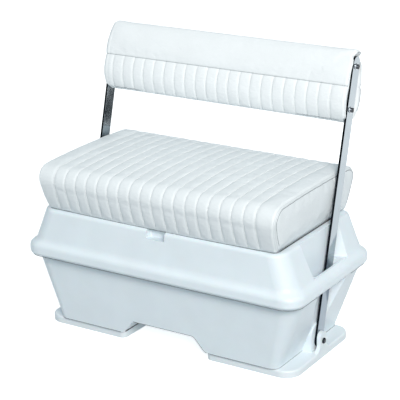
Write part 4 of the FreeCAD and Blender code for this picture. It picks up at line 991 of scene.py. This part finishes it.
def pale_floor():
    """A floor, and round it a wall that only the camera sees."""
    finish = Finish("studio_floor")
    fibre = finish.grain(0.4, 3)
    material = finish.done(
        Base_Color=finish.tint(fibre, (0.90, 0.90, 0.90), (0.93, 0.93, 0.93)), Roughness=0.9,
        Emission_Color=(1, 1, 1, 1), Emission_Strength=0.70)
    wide, high, steps = 14, 9, 48
    floor = mesh_piece(
        "studio_floor", [(-wide, -wide, 0), (wide, -wide, 0), (wide, wide, 0), (-wide, wide, 0)],
        [(0, 1, 2, 3)])
    dress(floor, material)
    floor.visible_diffuse = False
    ring = [(wide * math.cos(math.tau * step / steps), wide * math.sin(math.tau * step / steps))
            for step in range(steps)]
    wall = mesh_piece("studio_backdrop", [(x, y, z) for z in (0, high) for x, y in ring], [
        (step, (step + 1) % steps, steps + (step + 1) % steps, steps + step)
        for step in range(steps)])
    dress(wall, material)
    wall.visible_diffuse = wall.visible_glossy = wall.visible_shadow = False
    wall.visible_transmission = False


def dark_card(name, corners, colour):
    """A card that only the polished steel sees."""
    finish = Finish(name)
    felt = finish.grain(0.02, 2)
    material = finish.done(
        Base_Color=finish.tint(felt, darker(colour, 0.6), colour), Roughness=0.95)
    card = mesh_piece(name, corners, [(0, 1, 2, 3)])
    dress(card, material)
    card.visible_camera = card.visible_diffuse = card.visible_shadow = False
    card.visible_transmission = False


def soft_light(name, place, width, power, colour, gloss=True):
    lamp = bpy.data.lights.new(name, "AREA")
    lamp.shape = "DISK"
    lamp.size = width
    lamp.energy = power
    lamp.color = colour
    holder = bpy.data.objects.new(name, lamp)
    holder.location = place
    toward = Vector((0, 0, 0.4)) - Vector(place)
    holder.rotation_euler = toward.to_track_quat("-Z", "Y").to_euler()
    holder.visible_glossy = gloss
    bpy.context.scene.collection.objects.link(holder)


def studio():
    scene = bpy.context.scene
    scene.view_settings.view_transform = "Standard"
    surround = Finish("studio", bpy.data.worlds)
    direction = surround.add("ShaderNodeTexCoord")
    height = surround.add("ShaderNodeSeparateXYZ", {}, {0: direction}, output=2)
    level = height * 0.5 + 0.5
    sky = surround.add("ShaderNodeBackground", {}, {
        "Color": surround.tint(level, (0.68, 0.88, 1.0), (0.86, 0.955, 1.0)),
        "Strength": surround.ramp(level, (0.1, 0.275), (1.0, 0.60))})
    surround.add("ShaderNodeOutputWorld", {}, {"Surface": sky})
    scene.world = surround.material
    soft_light("key", (5.4, -5.6, 4.9), width=4.4, power=645, colour=(1.0, 0.962, 0.93))
    soft_light("fill", (-4.2, 6.0, 1.6), width=4.0, power=110, colour=(0.93, 0.97, 1.0),
               gloss=False)
    pale_floor()
    dark_card("card_behind", [
        (0.50, 1.50, 0.01), (0.92, 1.50, 0.01), (1.15, 2.5, 0.01), (0.73, 2.5, 0.01)],
        (0.042, 0.050, 0.056))


for material, names in WEARS.items():
    for name in names:
        dress(parts[name], material)
upholster_the_seat()
upholster_the_backrest()
paint_shade_into_the_joints()
look_as_the_photograph_does()
studio()
